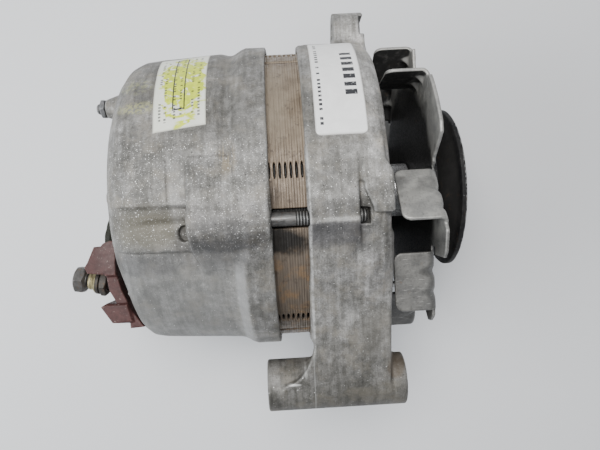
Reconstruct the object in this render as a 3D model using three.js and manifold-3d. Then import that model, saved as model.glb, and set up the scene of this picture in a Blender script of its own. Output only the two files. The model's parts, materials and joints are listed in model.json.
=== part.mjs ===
// Automotive alternator, 130 mm class, V-belt drive, external fan.
// Millimetres. +X runs along the rotor axis towards the pulley, +Y towards the adjusting ear,
// +Z is up when the alternator lies on its side. The rotor axis is Y = Z = 0 and X = 0 is the
// drive end of the shaft. "Front" means the drive end (+X), "rear" the slip-ring end (-X).
// Stations along the shaft are measured from near the middle of the stator and shifted by SHIFT.
// Angles around the shaft are in degrees, measured from +Z towards +Y.
import * as THREE from 'three';
import { mergeVertices } from 'three/addons/utils/BufferGeometryUtils.js';
import Module from 'manifold-3d';

const wasm = await Module();
wasm.setup();

// ---------------------------------------------------------------- driving dimensions
const SHAFT_END_X = 81.5;       // station of the drive end of the shaft
const SHIFT = -SHAFT_END_X;
const SEGMENTS = 48;            // facets round the housings
const CAVITY_SEGMENTS = 40;     // facets round the housing cavities
const GAP = 0.3;                // clearance round the stator and the front bearing
const STATOR_R = 65;            // outside radius of the lamination stack
const STATOR_X = [-14.5, 15];   // stack ends
const SHOULDER_GAP = 0.4;       // from a stack end to the housing shoulder
const FLANGE_R = 68.5;          // outside radius of both housing rims
const RIM_BORE_R = STATOR_R + GAP;
const BODY_BORE_R = 61.3;       // housing bore behind the shoulder
const WALL = 3.8;               // casting wall
const REAR_FACE_X = -6.5;       // rear housing rim face
const REAR_BACK_X = -73;        // rear housing back face
const FRONT_FACE_X = 7;         // front housing rim face
const FRONT_END_X = 38;         // front housing drive-end face
const BOLT_ANGLES = [-10.5, 109.5, 229.5];
const BOLT_PITCH_R = 66;        // through-bolt circle radius
const BOLT_HOLE_R = 3.2;
const SHAFT_R = 8.4;
const HUB_BORE_R = 8.7;         // bore of the claw poles, fan and pulley
const FRONT_BEARING = {
  x: [28, 42], bore: 8.6, innerRace: 12.3, outerRace: 19.7, outside: 23.4, ballR: 3.35, balls: 7,
};
const REAR_BEARING = {
  x: [-66, -55], bore: 7.6, innerRace: 10.2, outerRace: 14.6, outside: 17.4, ballR: 2.05, balls: 8,
};
const SLIP_RINGS_X = [[-46.4, -41], [-53, -47.6]];
const AUX_STUD = [43.7, 10];    // auxiliary stud axis (Y, Z)
const TERMINAL = [-95.5, -32.6, 20];       // centre of the output bolt head (station, Y, Z)
const TERMINAL_DIR = [0.9844, -0.1759, 0]; // from the head into the housing
const HOLDER_SCREWS = [[-12.3, -33.5], [12.3, -33.5]]; // brush-holder screw axes (Y, Z)

// colour, metalness, roughness
const MATERIALS = {
  casting: [0x9b9994, 0.75, 0.55], steel: [0x8b8a88, 0.8, 0.4],
  boltSteel: [0x8b8a88, 0.9, 0.45], shaftSteel: [0x8b8a88, 0.9, 0.35],
  nutSteel: [0x8b8a88, 0.85, 0.35], springSteel: [0x8b8a88, 0.9, 0.3],
  laminations: [0x7d684c, 0.4, 0.8], winding: [0xa5603a, 0.5, 0.45],
  fieldCoil: [0xa5603a, 0.5, 0.4], clawPole: [0x6d6c6a, 0.8, 0.6],
  bobbin: [0xd8d3c4, 0, 0.6], sleeve: [0x3a3835, 0, 0.6], slipRing: [0xb87a4b, 0.9, 0.3],
  race: [0xa8a8a8, 0.95, 0.2], ballCage: [0xb5b5b2, 0.95, 0.25],
  fan: [0x8f8e88, 0.7, 0.5], pulley: [0x2b2b2b, 0.7, 0.45],
  diode: [0x9a9a98, 0.8, 0.4], heatSink: [0xb5b6b8, 0.9, 0.4], board: [0x5d4a2e, 0.1, 0.7],
  brushHolder: [0x2e2a27, 0, 0.6], brush: [0x33302e, 0.2, 0.5],
  phenolic: [0x7a3b34, 0, 0.6], terminalBolt: [0x6a6560, 0.8, 0.5],
  flatWasher: [0xa89878, 0.8, 0.45], springWasher: [0x35322f, 0.8, 0.5],
  outputNut: [0x45423f, 0.8, 0.5], auxStud: [0x8a8578, 0.8, 0.45],
  auxNut: [0x55524e, 0.8, 0.5], wire: [0x2f3024, 0, 0.7],
  rearLabel: [0xdedede, 0, 0.5], frontLabel: [0xe2e2e0, 0, 0.5],
};

// ---------------------------------------------------------------- points
// [y, z] at a radius and angle, moved sideways by `across` towards increasing angle
const besidePolar = (radius, angle, across) => {
  const cos = Math.cos(THREE.MathUtils.degToRad(angle));
  const sin = Math.sin(THREE.MathUtils.degToRad(angle));
  return [radius * sin + across * cos, radius * cos - across * sin];
};
const polar = (radius, angle) => besidePolar(radius, angle, 0);
const around = (middle, half) => [middle - half, middle + half];
const place = (x, y, z) => new THREE.Vector3(x + SHIFT, y, z);
// [station, y, z] along the output terminal axis, `distance` from the head centre
const onTerminal = (distance) => [
  TERMINAL[0] + TERMINAL_DIR[0] * distance,
  TERMINAL[1] + TERMINAL_DIR[1] * distance,
  TERMINAL[2],
];

// ---------------------------------------------------------------- solids
// manifold solid from a closed geometry, with its faces turned outwards
function solid(geometry) {
  const bare = geometry.clone();
  bare.deleteAttribute('normal');
  bare.deleteAttribute('uv');
  const merged = mergeVertices(bare, 1e-5);
  const index = merged.index.array;
  const { position } = merged.attributes;
  const corner = (i) => new THREE.Vector3().fromBufferAttribute(position, i);
  const triangles = [];
  let volume = 0;
  for (let i = 0; i < index.length; i += 3) {
    const [first, second, third] = index.slice(i, i + 3);
    if (first === second || second === third || first === third) continue;
    triangles.push(first, second, third);
    volume += corner(first).dot(corner(second).cross(corner(third)));
  }
  if (volume < 0) {
    for (let i = 0; i < triangles.length; i += 3) {
      [triangles[i + 1], triangles[i + 2]] = [triangles[i + 2], triangles[i + 1]];
    }
  }
  return new wasm.Manifold(new wasm.Mesh({
    numProp: 3,
    vertProperties: new Float32Array(position.array),
    triVerts: new Uint32Array(triangles),
  }));
}
const union = (solids) => solids.reduce((sum, next) => sum.add(next));

// closed profile of [station, radius] points turned about the shaft
function revolve(profile, segments, phase = 0) {
  const points = profile.map(([x, radius]) => new THREE.Vector2(radius, x + SHIFT));
  const onAxis = points[0].x < 1e-6 && points[points.length - 1].x < 1e-6;
  if (!onAxis) points.push(points[0].clone());
  const start = THREE.MathUtils.degToRad(phase);
  const geometry = new THREE.LatheGeometry(points, segments, start, Math.PI * 2);
  geometry.rotateZ(-Math.PI / 2);
  return solid(geometry);
}
const tube = ([x0, x1], [inner, outer], segments) =>
  revolve([[x0, inner], [x0, outer], [x1, outer], [x1, inner]], segments);
const disc = ([x0, x1], radius, segments) =>
  revolve([[x0, 0], [x0, radius], [x1, radius], [x1, 0]], segments);

// shape drawn in (Y, Z), extruded along the shaft
function extrudeX(shape, [x0, x1]) {
  const geometry = new THREE.ExtrudeGeometry(shape, { depth: x1 - x0, bevelEnabled: false });
  const [alongY, alongZ, alongX] = [[0, 1, 0], [0, 0, 1], [1, 0, 0]]
    .map((axis) => new THREE.Vector3(...axis));
  geometry.applyMatrix4(new THREE.Matrix4().makeBasis(alongY, alongZ, alongX));
  geometry.translate(x0 + SHIFT, 0, 0);
  return solid(geometry);
}
const vectors = (points) => points.map(([y, z]) => new THREE.Vector2(y, z));
// prism along the shaft from [y, z] points
const prismX = (points, span) => extrudeX(new THREE.Shape(vectors(points)), span);
// prism along +Z from [station, y] points
function prismZ(points, [z0, z1]) {
  const shape = new THREE.Shape(points.map(([x, y]) => new THREE.Vector2(x + SHIFT, y)));
  const geometry = new THREE.ExtrudeGeometry(shape, { depth: z1 - z0, bevelEnabled: false });
  geometry.translate(0, 0, z0);
  return solid(geometry);
}
function box([x0, x1], [y0, y1], [z0, z1]) {
  const geometry = new THREE.BoxGeometry(x1 - x0, y1 - y0, z1 - z0);
  geometry.translate((x0 + x1) / 2 + SHIFT, (y0 + y1) / 2, (z0 + z1) / 2);
  return solid(geometry);
}
// cylinder, cone or hexagon between two [station, y, z] points
function rod(from, to, radius, segments, endRadius = radius) {
  const start = place(...from);
  const end = place(...to);
  const length = start.distanceTo(end);
  const geometry = new THREE.CylinderGeometry(endRadius, radius, length, segments);
  const direction = end.clone().sub(start).normalize();
  const up = new THREE.Vector3(0, 1, 0);
  geometry.applyQuaternion(new THREE.Quaternion().setFromUnitVectors(up, direction));
  geometry.translate((start.x + end.x) / 2, (start.y + end.y) / 2, (start.z + end.z) / 2);
  return solid(geometry);
}
// rod parallel to the shaft, centred on a [y, z] point
const bar = ([x0, x1], centre, radius, segments, endRadius) =>
  rod([x0, ...centre], [x1, ...centre], radius, segments, endRadius);
// ring sector with a facet at least every `step` degrees, but never fewer than two facets
function sector([from, to], [inner, outer], span, step) {
  const count = Math.max(2, Math.ceil((to - from) / step));
  const angles = Array.from({ length: count + 1 }, (_, i) => from + (to - from) * i / count);
  const outerArc = angles.map((angle) => polar(outer, angle));
  const innerArc = angles.map((angle) => polar(inner, angle)).reverse();
  return prismX([...outerArc, ...innerArc], span);
}
// trapezium straddling an angle, with a half width at each of its two radii
const pad = (angle, [inner, outer], [innerHalf, outerHalf], span) => prismX([
  besidePolar(inner, angle, -innerHalf), besidePolar(inner, angle, innerHalf),
  besidePolar(outer, angle, outerHalf), besidePolar(outer, angle, -outerHalf),
], span);
// section swept along a smooth curve through the points
function sweep(section, points, options) {
  const extrudePath = new THREE.CatmullRomCurve3(points);
  return solid(new THREE.ExtrudeGeometry(section, {
    extrudePath, bevelEnabled: false, ...options,
  }));
}
const average = (points) =>
  points.reduce((sum, point) => sum.clone().add(point)).divideScalar(points.length);
// convex block from a few corner points, faces found by testing every corner triple
function convexBlock(corners) {
  const middle = average(corners);
  const faces = new Map();
  const tryFace = (i, j, k) => {
    const edge = corners[j].clone().sub(corners[i]);
    const normal = edge.cross(corners[k].clone().sub(corners[i]));
    if (normal.length() < 1e-6) return;
    normal.normalize();
    let offset = normal.dot(corners[i]);
    if (normal.dot(middle) > offset) {
      normal.negate();
      offset = -offset;
    }
    if (corners.some((corner) => normal.dot(corner) > offset + 1e-4)) return;
    const key = [...normal, offset].map((value) => value.toFixed(2)).join();
    if (faces.has(key)) return;
    const face = [...corners.keys()]
      .filter((n) => Math.abs(normal.dot(corners[n]) - offset) < 2e-4);
    const centre = average(face.map((n) => corners[n]));
    const across = corners[face[0]].clone().sub(centre).normalize();
    const along = normal.clone().cross(across);
    const turn = (n) => {
      const arm = corners[n].clone().sub(centre);
      return Math.atan2(arm.dot(along), arm.dot(across));
    };
    faces.set(key, face.sort((n, m) => turn(n) - turn(m)));
  };
  for (let i = 0; i < corners.length; i++) {
    for (let j = i + 1; j < corners.length; j++) {
      for (let k = j + 1; k < corners.length; k++) tryFace(i, j, k);
    }
  }
  const index = [];
  for (const face of faces.values()) {
    for (let i = 1; i + 1 < face.length; i++) index.push(face[0], face[i], face[i + 1]);
  }
  const geometry = new THREE.BufferGeometry().setFromPoints(corners);
  geometry.setIndex(index);
  return solid(geometry);
}

const group = new THREE.Group();
function addMesh(name, body, materialName) {
  const { vertProperties, triVerts } = body.getMesh();
  const geometry = new THREE.BufferGeometry();
  geometry.setAttribute('position', new THREE.BufferAttribute(new Float32Array(vertProperties), 3));
  geometry.setIndex(new THREE.BufferAttribute(new Uint32Array(triVerts), 1));
  geometry.computeVertexNormals();
  const [color, metalness, roughness] = MATERIALS[materialName];
  const material = new THREE.MeshStandardMaterial({ color, metalness, roughness });
  const mesh = new THREE.Mesh(geometry, material);
  mesh.name = name;
  group.add(mesh);
}

// ---------------------------------------------------------------- rear housing
const REAR_BARREL = [[-50.6, 64], [-21, 65.6]]; // long taper (station, radius)
const REAR_PROFILE = [                          // station, radius
  [REAR_BACK_X, 0], [REAR_BACK_X, 38.5], [-71.7, 44], [-70, 49.4], [-68, 54.2], [-66, 58.2],
  [-63, 61.2], [-58.5, 63], ...REAR_BARREL, [-15.5, FLANGE_R], [REAR_FACE_X, FLANGE_R],
  [REAR_FACE_X, 0],
];
const REAR_SHOULDER_X = STATOR_X[0] - SHOULDER_GAP;
const REAR_CAVITY = [                           // station, radius
  [REAR_FACE_X + 1, 0], [REAR_FACE_X + 1, RIM_BORE_R], [REAR_SHOULDER_X, RIM_BORE_R],
  [REAR_SHOULDER_X, BODY_BORE_R], [-48, 60], [-57, 57.4], [-62, 54.6], [-65.6, 50.8],
  [-67.8, 46.5], [-69, 42], [-69, 0],
];
// sloped flat that seats the terminal block: normal (X, Y), distance from the origin of
// stations, lower Y limit and Z limits
const SEAT = { normal: [-0.927, -0.374], distance: 75.5, y: -56, z: [-16, 37] };
const REAR_VENTS = { angles: [-18, 18, 54, 108, 144], halfSpan: 13, radii: [27, 45] };
const REAR_BOSS = { pitchR: 66.4, radius: 6.2 };
const HEAD_POCKET_R = 5.6;      // recess for a through-bolt head
const REAR_BORE_R = 9.6;        // opening in the back face round the shaft

// everything beyond the seat, moved inwards by `inset` and bounded by the seat's limits
function seatCut(inset, topY) {
  const [normalX, normalY] = SEAT.normal;
  const near = SEAT.distance - inset;
  const corner = (out, along) => [
    normalX * out - normalY * along,
    normalY * out + normalX * along,
  ];
  const beyond = prismZ([
    corner(near, -150), corner(near, 150), corner(near + 80, 150), corner(near + 80, -150),
  ], [-90, 90]);
  const zLimits = [SEAT.z[0] - inset, SEAT.z[1] + inset];
  return beyond.intersect(box([-95, -40], [SEAT.y - inset, topY], zLimits));
}
function rearHousing() {
  let body = revolve(REAR_PROFILE, SEGMENTS).subtract(seatCut(0, 40));
  for (const angle of BOLT_ANGLES) {
    const boss = polar(REAR_BOSS.pitchR, angle);
    body = body.add(pad(angle, [60, 71.2], [12.5, 8.5], [-35.5, REAR_FACE_X]))
      .add(bar([-36, REAR_FACE_X], boss, REAR_BOSS.radius, 12));
  }
  body = body.subtract(revolve(REAR_CAVITY, CAVITY_SEGMENTS).subtract(seatCut(WALL, 44)));
  // bearing seat and the ring behind it
  body = body.add(tube([-69.5, -54.6], [17.8, 22.2], 24).add(tube([-69.5, -66.6], [9.4, 18], 24)));
  body = body.subtract(disc([-80, -60], REAR_BORE_R, 24));
  for (const angle of BOLT_ANGLES) {
    const bolt = polar(BOLT_PITCH_R, angle);
    body = body.subtract(bar([-90, -31.5], bolt, HEAD_POCKET_R, 10))
      .subtract(bar([-60, 0], bolt, BOLT_HOLE_R, 8));
  }
  for (const angle of REAR_VENTS.angles) {
    const { halfSpan, radii } = REAR_VENTS;
    body = body.subtract(sector(around(angle, halfSpan), radii, [-80, -66.5], 13));
  }
  // auxiliary stud boss and hole
  body = body.add(bar([-81, -70], AUX_STUD, 7.2, 12, 3.9))
    .subtract(bar([-85, -60], AUX_STUD, 2.8, 8));
  // brush-holder opening
  body = body.subtract(box([-80, -60], [-8.2, 8.2], [-43.5, -25]));
  // output terminal hole
  body = body.subtract(rod(onTerminal(16), onTerminal(44), 5.2, 12));
  for (const screw of HOLDER_SCREWS) body = body.subtract(bar([-80, -60], screw, 1.9, 10));
  return body;
}
addMesh('rear_housing', rearHousing(), 'casting');

// ---------------------------------------------------------------- front housing
const FRONT_PROFILE = [                  // station, radius
  [FRONT_FACE_X, 0], [FRONT_FACE_X, FLANGE_R], [31, FLANGE_R], [35, 67.3], [37.3, 65.2],
  [FRONT_END_X, 63.3], [FRONT_END_X, 0],
];
const FRONT_SHOULDER_X = STATOR_X[1] + SHOULDER_GAP;
const FRONT_CAVITY = [                   // station, radius
  [FRONT_FACE_X - 1, 0], [FRONT_FACE_X - 1, RIM_BORE_R], [FRONT_SHOULDER_X, RIM_BORE_R],
  [FRONT_SHOULDER_X, BODY_BORE_R], [29, 60.5], [FRONT_END_X - WALL, 55], [FRONT_END_X - WALL, 0],
];
const PIVOT = { at: [-82, 29], radius: 10.7, bore: 5.2, x: [-12.6, 45] }; // at: (Y, Z)
const WEB_R = 63;                        // radius the pivot web is tangent to
const WEB_PLAN = [                       // station, y
  [7, -20], [7, -70], [6, -73], [3.5, -76], [0, -78], [-4, -79.3], [-9, -80], [-9, -96],
  [FRONT_END_X, -96], [FRONT_END_X, -20],
];
const WEB_POCKET = [                     // sideways, outwards from the shaft to the pivot
  [22, 65.8], [12, 74.5], [-12, 74.5], [-22, 65.8],
];
const EAR = { at: [74.5, 8], radius: 8.3, hole: 3.9, x: [24.5, 38.5] };   // at: (Y, Z)
const FRONT_VENTS = { count: 6, halfSpan: 21, radii: [32, 53] };
const FRONT_SEAT_R = FRONT_BEARING.outside + GAP;
const THREAD_R = 2.95;                   // threaded end of a through-bolt hole
const RETAINER_SCREWS = [90, 210, 330].map((angle) => polar(26.4, angle));

// web tangent to the body and to the tube, flared towards the rear, and its pocket
function addPivotFoot(body) {
  const reach = Math.hypot(...PIVOT.at);
  const [outY, outZ] = PIVOT.at.map((value) => value / reach);
  const fromPivotLine = ([side, out]) => [out * outY - side * outZ, out * outZ + side * outY];
  const lean = (WEB_R - PIVOT.radius) / reach;
  const spread = Math.sqrt(1 - lean * lean);
  const tangent = (radius, out, sign) =>
    fromPivotLine([radius * sign * spread, out + radius * lean]);
  const wedge = prismX([
    tangent(WEB_R, 0, 1), tangent(PIVOT.radius, reach, 1),
    tangent(PIVOT.radius, reach, -1), tangent(WEB_R, 0, -1),
  ], [-14, FRONT_END_X]);
  return body.add(wedge.intersect(prismZ(WEB_PLAN, [-60, 80])))
    .add(bar(PIVOT.x, PIVOT.at, PIVOT.radius, 24))
    .subtract(prismX(WEB_POCKET.map(fromPivotLine), [17.5, 60]));
}
function frontHousing() {
  let body = revolve(FRONT_PROFILE, SEGMENTS);
  for (const angle of BOLT_ANGLES) {
    body = body.add(pad(angle, [60, 70.4], [12, 8], [FRONT_FACE_X, 27.6]))
      .add(pad(angle + 5, [58, 68.4], [12, 10.5], [30, FRONT_END_X + 0.4]));
  }
  body = addPivotFoot(body);
  body = body.add(bar(EAR.x, EAR.at, EAR.radius, 20))
    .add(box(EAR.x, [60, EAR.at[0]], around(EAR.at[1], EAR.radius)));
  body = body.subtract(revolve(FRONT_CAVITY, CAVITY_SEGMENTS));
  // bearing seat and its front lip
  body = body.add(tube([26.5, 43], [FRONT_SEAT_R, 29], 28).add(tube([42.5, 44.5], [15, 29], 28)));
  body = body.subtract(disc([33, 42.5], FRONT_SEAT_R, 28));
  body = body.subtract(bar([20, 60], EAR.at, EAR.hole, 12))
    .subtract(bar([-40, 60], PIVOT.at, PIVOT.bore, 16));
  for (const angle of BOLT_ANGLES) {
    const bolt = polar(BOLT_PITCH_R, angle);
    body = body.subtract(bar([0, 30], bolt, BOLT_HOLE_R, 8))
      .subtract(bar([29, 37.2], bolt, THREAD_R, 8))
      .subtract(pad(angle, [63.6, 80], [11, 11], [27.6, 31.6]));
  }
  for (let i = 0; i < FRONT_VENTS.count; i++) {
    const span = around(i * 360 / FRONT_VENTS.count + 30, FRONT_VENTS.halfSpan);
    body = body.subtract(sector(span, FRONT_VENTS.radii, [30, 60], 14));
  }
  for (const screw of RETAINER_SCREWS) body = body.subtract(bar([20, 31], screw, 1.7, 8));
  return body;
}
addMesh('front_housing', frontHousing(), 'casting');

// ---------------------------------------------------------------- stator
const SLOTS = 36;
const SLOT_PITCH = 360 / SLOTS;
const BORE_R = 46.6;                     // stator bore radius
const SLOT_FLOOR_R = 58.2;
// degrees from the centre line, radius
const SLOT_CORNERS = [
  [-2.2, BORE_R], [-2.6, SLOT_FLOOR_R], [2.6, SLOT_FLOOR_R], [2.2, BORE_R],
];
const NOTCH_CORNERS = [[-3.5, STATOR_R], [-3, 62.7], [3, 62.7], [3.5, STATOR_R]];
const NOTCH_CLEARANCE = 4.2;             // degrees either side of a notch with no rim point

function statorCore() {
  const nearNotch = (angle) => BOLT_ANGLES.some(
    (notch) => Math.abs(((angle - notch + 540) % 360) - 180) < NOTCH_CLEARANCE);
  const rim = [];
  for (let angle = 0; angle < 360; angle += 5) {
    if (!nearNotch(angle)) rim.push([angle, STATOR_R]);
  }
  for (const notch of BOLT_ANGLES) {
    for (const [turn, radius] of NOTCH_CORNERS) rim.push([(notch + turn + 360) % 360, radius]);
  }
  rim.sort(([first], [second]) => first - second);
  const bore = [];
  for (let i = 0; i < SLOTS; i++) {
    for (const [turn, radius] of SLOT_CORNERS) bore.push([i * SLOT_PITCH + turn, radius]);
  }
  bore.reverse();
  const flat = (points) => vectors(points.map(([angle, radius]) => polar(radius, angle)));
  const shape = new THREE.Shape(flat(rim));
  shape.holes.push(new THREE.Path(flat(bore)));
  return extrudeX(shape, STATOR_X);
}
addMesh('stator_core', statorCore(), 'laminations');

const WINDING = { inner: 48.8, outer: 59.2, chamfer: [2, 1.7], ends: [[-34, -16.5], [17, 31]] };
function windingEnd([x0, x1]) {
  const { inner, outer, chamfer: [dx, dr] } = WINDING;
  return revolve([
    [x0, inner + dr], [x0 + dx, inner], [x1 - dx, inner], [x1, inner + dr],
    [x1, outer - dr], [x1 - dx, outer], [x0 + dx, outer], [x0, outer - dr],
  ], 24, 5);
}
function statorWinding() {
  const span = [STATOR_X[0] - 4, STATOR_X[1] + 4];
  const bars = Array.from({ length: SLOTS },
    (_, i) => pad(i * SLOT_PITCH, [51.2, 56.8], [1.7, 1.8], span));
  return union([...WINDING.ends.map(windingEnd), ...bars]);
}
addMesh('stator_winding', statorWinding(), 'winding');

// ---------------------------------------------------------------- through-bolts
const BOLT = { shankR: 2.65, shankX: [-35.8, 36.4], headR: 5, headX: [-36.6, -32] };
BOLT_ANGLES.forEach((angle, i) => {
  const centre = polar(BOLT_PITCH_R, angle);
  const shank = bar(BOLT.shankX, centre, BOLT.shankR, 12);
  const head = bar(BOLT.headX, centre, BOLT.headR, 6);
  addMesh(`through_bolt_${i + 1}`, shank.add(head), 'boltSteel');
});

// ---------------------------------------------------------------- rotor
const SHAFT_PROFILE = [                  // station, radius
  [-66.4, 0], [-66.4, 6.6], [-65.6, 7.3], [-54.4, 7.3], [-54.4, 8], [-18, 8], [-18, SHAFT_R],
  [21, SHAFT_R], [27.2, SHAFT_R], [68.5, SHAFT_R], [68.5, 7.6], [80.6, 7.6],
  [SHAFT_END_X, 6.7], [SHAFT_END_X, 0],
];
addMesh('rotor_shaft', revolve(SHAFT_PROFILE, 20), 'shaftSteel');

const ROTOR_R = 46;
const POLES = 12;
const CLAW_DISC = { x: [8.4, 17], radius: 36 };
// front claw finger, wide at the disc and narrow at the tip: station, half width, radius
const FINGER_CORNERS = [
  [CLAW_DISC.x[1], 13, 34], [CLAW_DISC.x[1], 10.5, 44.2], [CLAW_DISC.x[0], 13, 34],
  [-16, 3.5, 41.6], [-16, 3.5, ROTOR_R - 0.3], [7, 4.5, ROTOR_R], [15.5, 9.2, ROTOR_R - 1],
];
// direction +1: disc at the drive end, fingers pointing to the rear; -1: mirrored
function clawPole(direction) {
  const discX = CLAW_DISC.x.map((x) => direction * x).sort((low, high) => low - high);
  let body = tube(discX, [HUB_BORE_R, CLAW_DISC.radius], 24);
  for (let i = 0; i < POLES / 2; i++) {
    const angle = i * 720 / POLES + (direction > 0 ? 0 : 360 / POLES);
    const corners = FINGER_CORNERS.flatMap(([x, half, radius]) => [-half, half].map(
      (across) => place(direction * x, ...besidePolar(radius, angle, across))));
    body = body.add(convexBlock(corners));
  }
  return body.subtract(disc([-30, 30], HUB_BORE_R, 24));
}
addMesh('claw_pole_front', clawPole(1), 'clawPole');
addMesh('claw_pole_rear', clawPole(-1), 'clawPole');

const BOBBIN_PROFILE = [                 // station, radius
  [-8, 9.4], [-8, 31], [-7, 31], [-7, 11], [7, 11], [7, 31], [8, 31], [8, 9.4],
];
const SLEEVE_PROFILE = [                 // station, radius
  [-53.6, SHAFT_R], [-53.6, 9.6], [-38, 9.6], [-38, 12.4], [-36, 12.4], [-36, SHAFT_R],
];
const SLIP_RING_RADII = [10, 13];
addMesh('coil_bobbin', revolve(BOBBIN_PROFILE, 20), 'bobbin');
addMesh('field_coil', tube([-6.7, 6.7], [11.4, 30.4], 28), 'fieldCoil');
addMesh('slip_ring_sleeve', revolve(SLEEVE_PROFILE, 24), 'sleeve');
['inner', 'outer'].forEach((end, i) => {
  addMesh(`slip_ring_${end}`, tube(SLIP_RINGS_X[i], SLIP_RING_RADII, 28), 'slipRing');
});
addMesh('front_collar', tube([17.3, 27.7], [8.8, 12], 24), 'steel');
addMesh('fan_spacer', tube([42.3, 56.6], [8.8, 12.6], 24), 'steel');

// ---------------------------------------------------------------- bearings
function ballCage({ x, innerRace, outerRace, ballR, balls }) {
  const middle = (x[0] + x[1]) / 2;
  const pitchR = (innerRace + outerRace) / 2;
  let cage = tube(around(middle, 0.8), around(pitchR, 1.1), 14);
  for (let i = 0; i < balls; i++) {
    const ball = new THREE.SphereGeometry(ballR, 6, 4);
    ball.rotateX(Math.PI / 2).translate(middle + SHIFT, ...polar(pitchR, i * 360 / balls));
    cage = cage.add(solid(ball));
  }
  return cage;
}
function addBearing(name, bearing) {
  const { x, bore, innerRace, outerRace, outside } = bearing;
  addMesh(`${name}_outer_ring`, tube(x, [outerRace, outside], 24), 'race');
  addMesh(`${name}_inner_ring`, tube(x, [bore, innerRace], 24), 'race');
  addMesh(`${name}_ball_cage`, ballCage(bearing), 'ballCage');
}
addBearing('front_bearing', FRONT_BEARING);
addBearing('rear_bearing', REAR_BEARING);

function bearingRetainer() {
  const plate = tube([24.4, 26.2], [16.5, 29], 24);
  return RETAINER_SCREWS.reduce((body, screw) => body.subtract(bar([20, 31], screw, 2, 8)), plate);
}
addMesh('bearing_retainer', bearingRetainer(), 'steel');
RETAINER_SCREWS.forEach((centre, i) => {
  const screw = bar([24.1, 30.6], centre, 1.4, 8).add(bar([21.8, 24.1], centre, 3, 10));
  addMesh(`retainer_screw_${i + 1}`, screw, 'steel');
});

// ---------------------------------------------------------------- fan
const FAN = {
  discX: 56.9,                  // rear face of the disc
  sheet: 1.6,                   // sheet thickness
  freeX: 41.5,                  // blade free edges
  tipR: 66,
  rootR: 50,
};
// unequal pitch: angle of the blade's outer end, arc of the lobe after it
const BLADES = [
  [70, 2.5], [43.3, 28], [-12.5, 15], [-52.3, 12], [-92, 11], [-128, 20], [-174, 8],
  [154, 18], [110, 14],
];
const BLADE_SWEEP = 17.5;       // degrees from a blade's outer end to its inner end

function fanOutline() {
  const outline = [];
  BLADES.forEach(([tipAngle, lobe], i) => {
    outline.push(polar(FAN.rootR, tipAngle + BLADE_SWEEP + 1.5));
    const count = Math.max(1, Math.round(lobe / 5));
    for (let k = 0; k <= count; k++) {
      outline.push(polar(FAN.tipR - (k === count ? 1.5 : 0), tipAngle - lobe * k / count));
    }
    const lobeEnd = tipAngle - lobe;
    const nextRoot = BLADES[(i + 1) % BLADES.length][0] + BLADE_SWEEP;
    const gap = ((lobeEnd - nextRoot) % 360 + 360) % 360;
    if (gap > 9 && gap <= 180) outline.push(polar(FAN.rootR, lobeEnd - 5));
  });
  return outline;
}
function fanBlade(tipAngle) {
  const root = new THREE.Vector2(...polar(FAN.rootR, tipAngle + 18.6));
  const tip = new THREE.Vector2(...polar(FAN.tipR - 0.05, tipAngle));
  const along = tip.clone().sub(root).normalize();
  const across = new THREE.Vector2(-along.y, along.x).multiplyScalar(FAN.sheet);
  // lay the sheet on the shaft side of its fold line
  if (across.dot(root) > 0) across.negate();
  const start = root.clone().addScaledVector(along, 1.2);
  return prismX([start, tip, tip.clone().add(across), start.clone().add(across)],
    [FAN.freeX, FAN.discX + 0.4]);
}
function fan() {
  const sheet = prismX(fanOutline(), [FAN.discX, FAN.discX + FAN.sheet]);
  return union([sheet, ...BLADES.map(([tipAngle]) => fanBlade(tipAngle))])
    .subtract(disc([50, 70], HUB_BORE_R, 24));
}
addMesh('fan', fan(), 'fan');

// ---------------------------------------------------------------- pulley
const PULLEY_R = 35.8;
const REAR_SHEAVE = [                    // station, radius
  [62.9, HUB_BORE_R], [62.9, 22], [60.8, PULLEY_R - 8], [59.7, PULLEY_R - 3], [59.8, PULLEY_R],
  [62, PULLEY_R], [62.2, PULLEY_R - 3.2], [65.8, 22.5], [65.2, HUB_BORE_R],
];
const FRONT_SHEAVE = [                   // station, radius
  [65.5, HUB_BORE_R], [66.1, 22.6], [71, PULLEY_R - 3.2], [71.8, PULLEY_R], [74, PULLEY_R],
  [74, PULLEY_R - 1.8], [73.5, PULLEY_R - 3.6], [68.4, 22], [67.8, HUB_BORE_R],
];
const NUT = { x: [70.9, 78.2], bore: 7.9, radius: 13.6 };
addMesh('pulley_hub', tube([58.8, 62.6], [HUB_BORE_R, 13.5], 24), 'steel');
addMesh('pulley_rear_sheave', revolve(REAR_SHEAVE, 32), 'pulley');
addMesh('pulley_front_sheave', revolve(FRONT_SHEAVE, 32), 'pulley');
addMesh('lock_washer', tube([68.8, 70.6], [8, 13.2], 24), 'steel');
const pulleyNut = tube(NUT.x, [NUT.bore, NUT.radius], 6).subtract(disc([60, 90], NUT.bore, 24));
addMesh('pulley_nut', pulleyNut, 'nutSteel');

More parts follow.
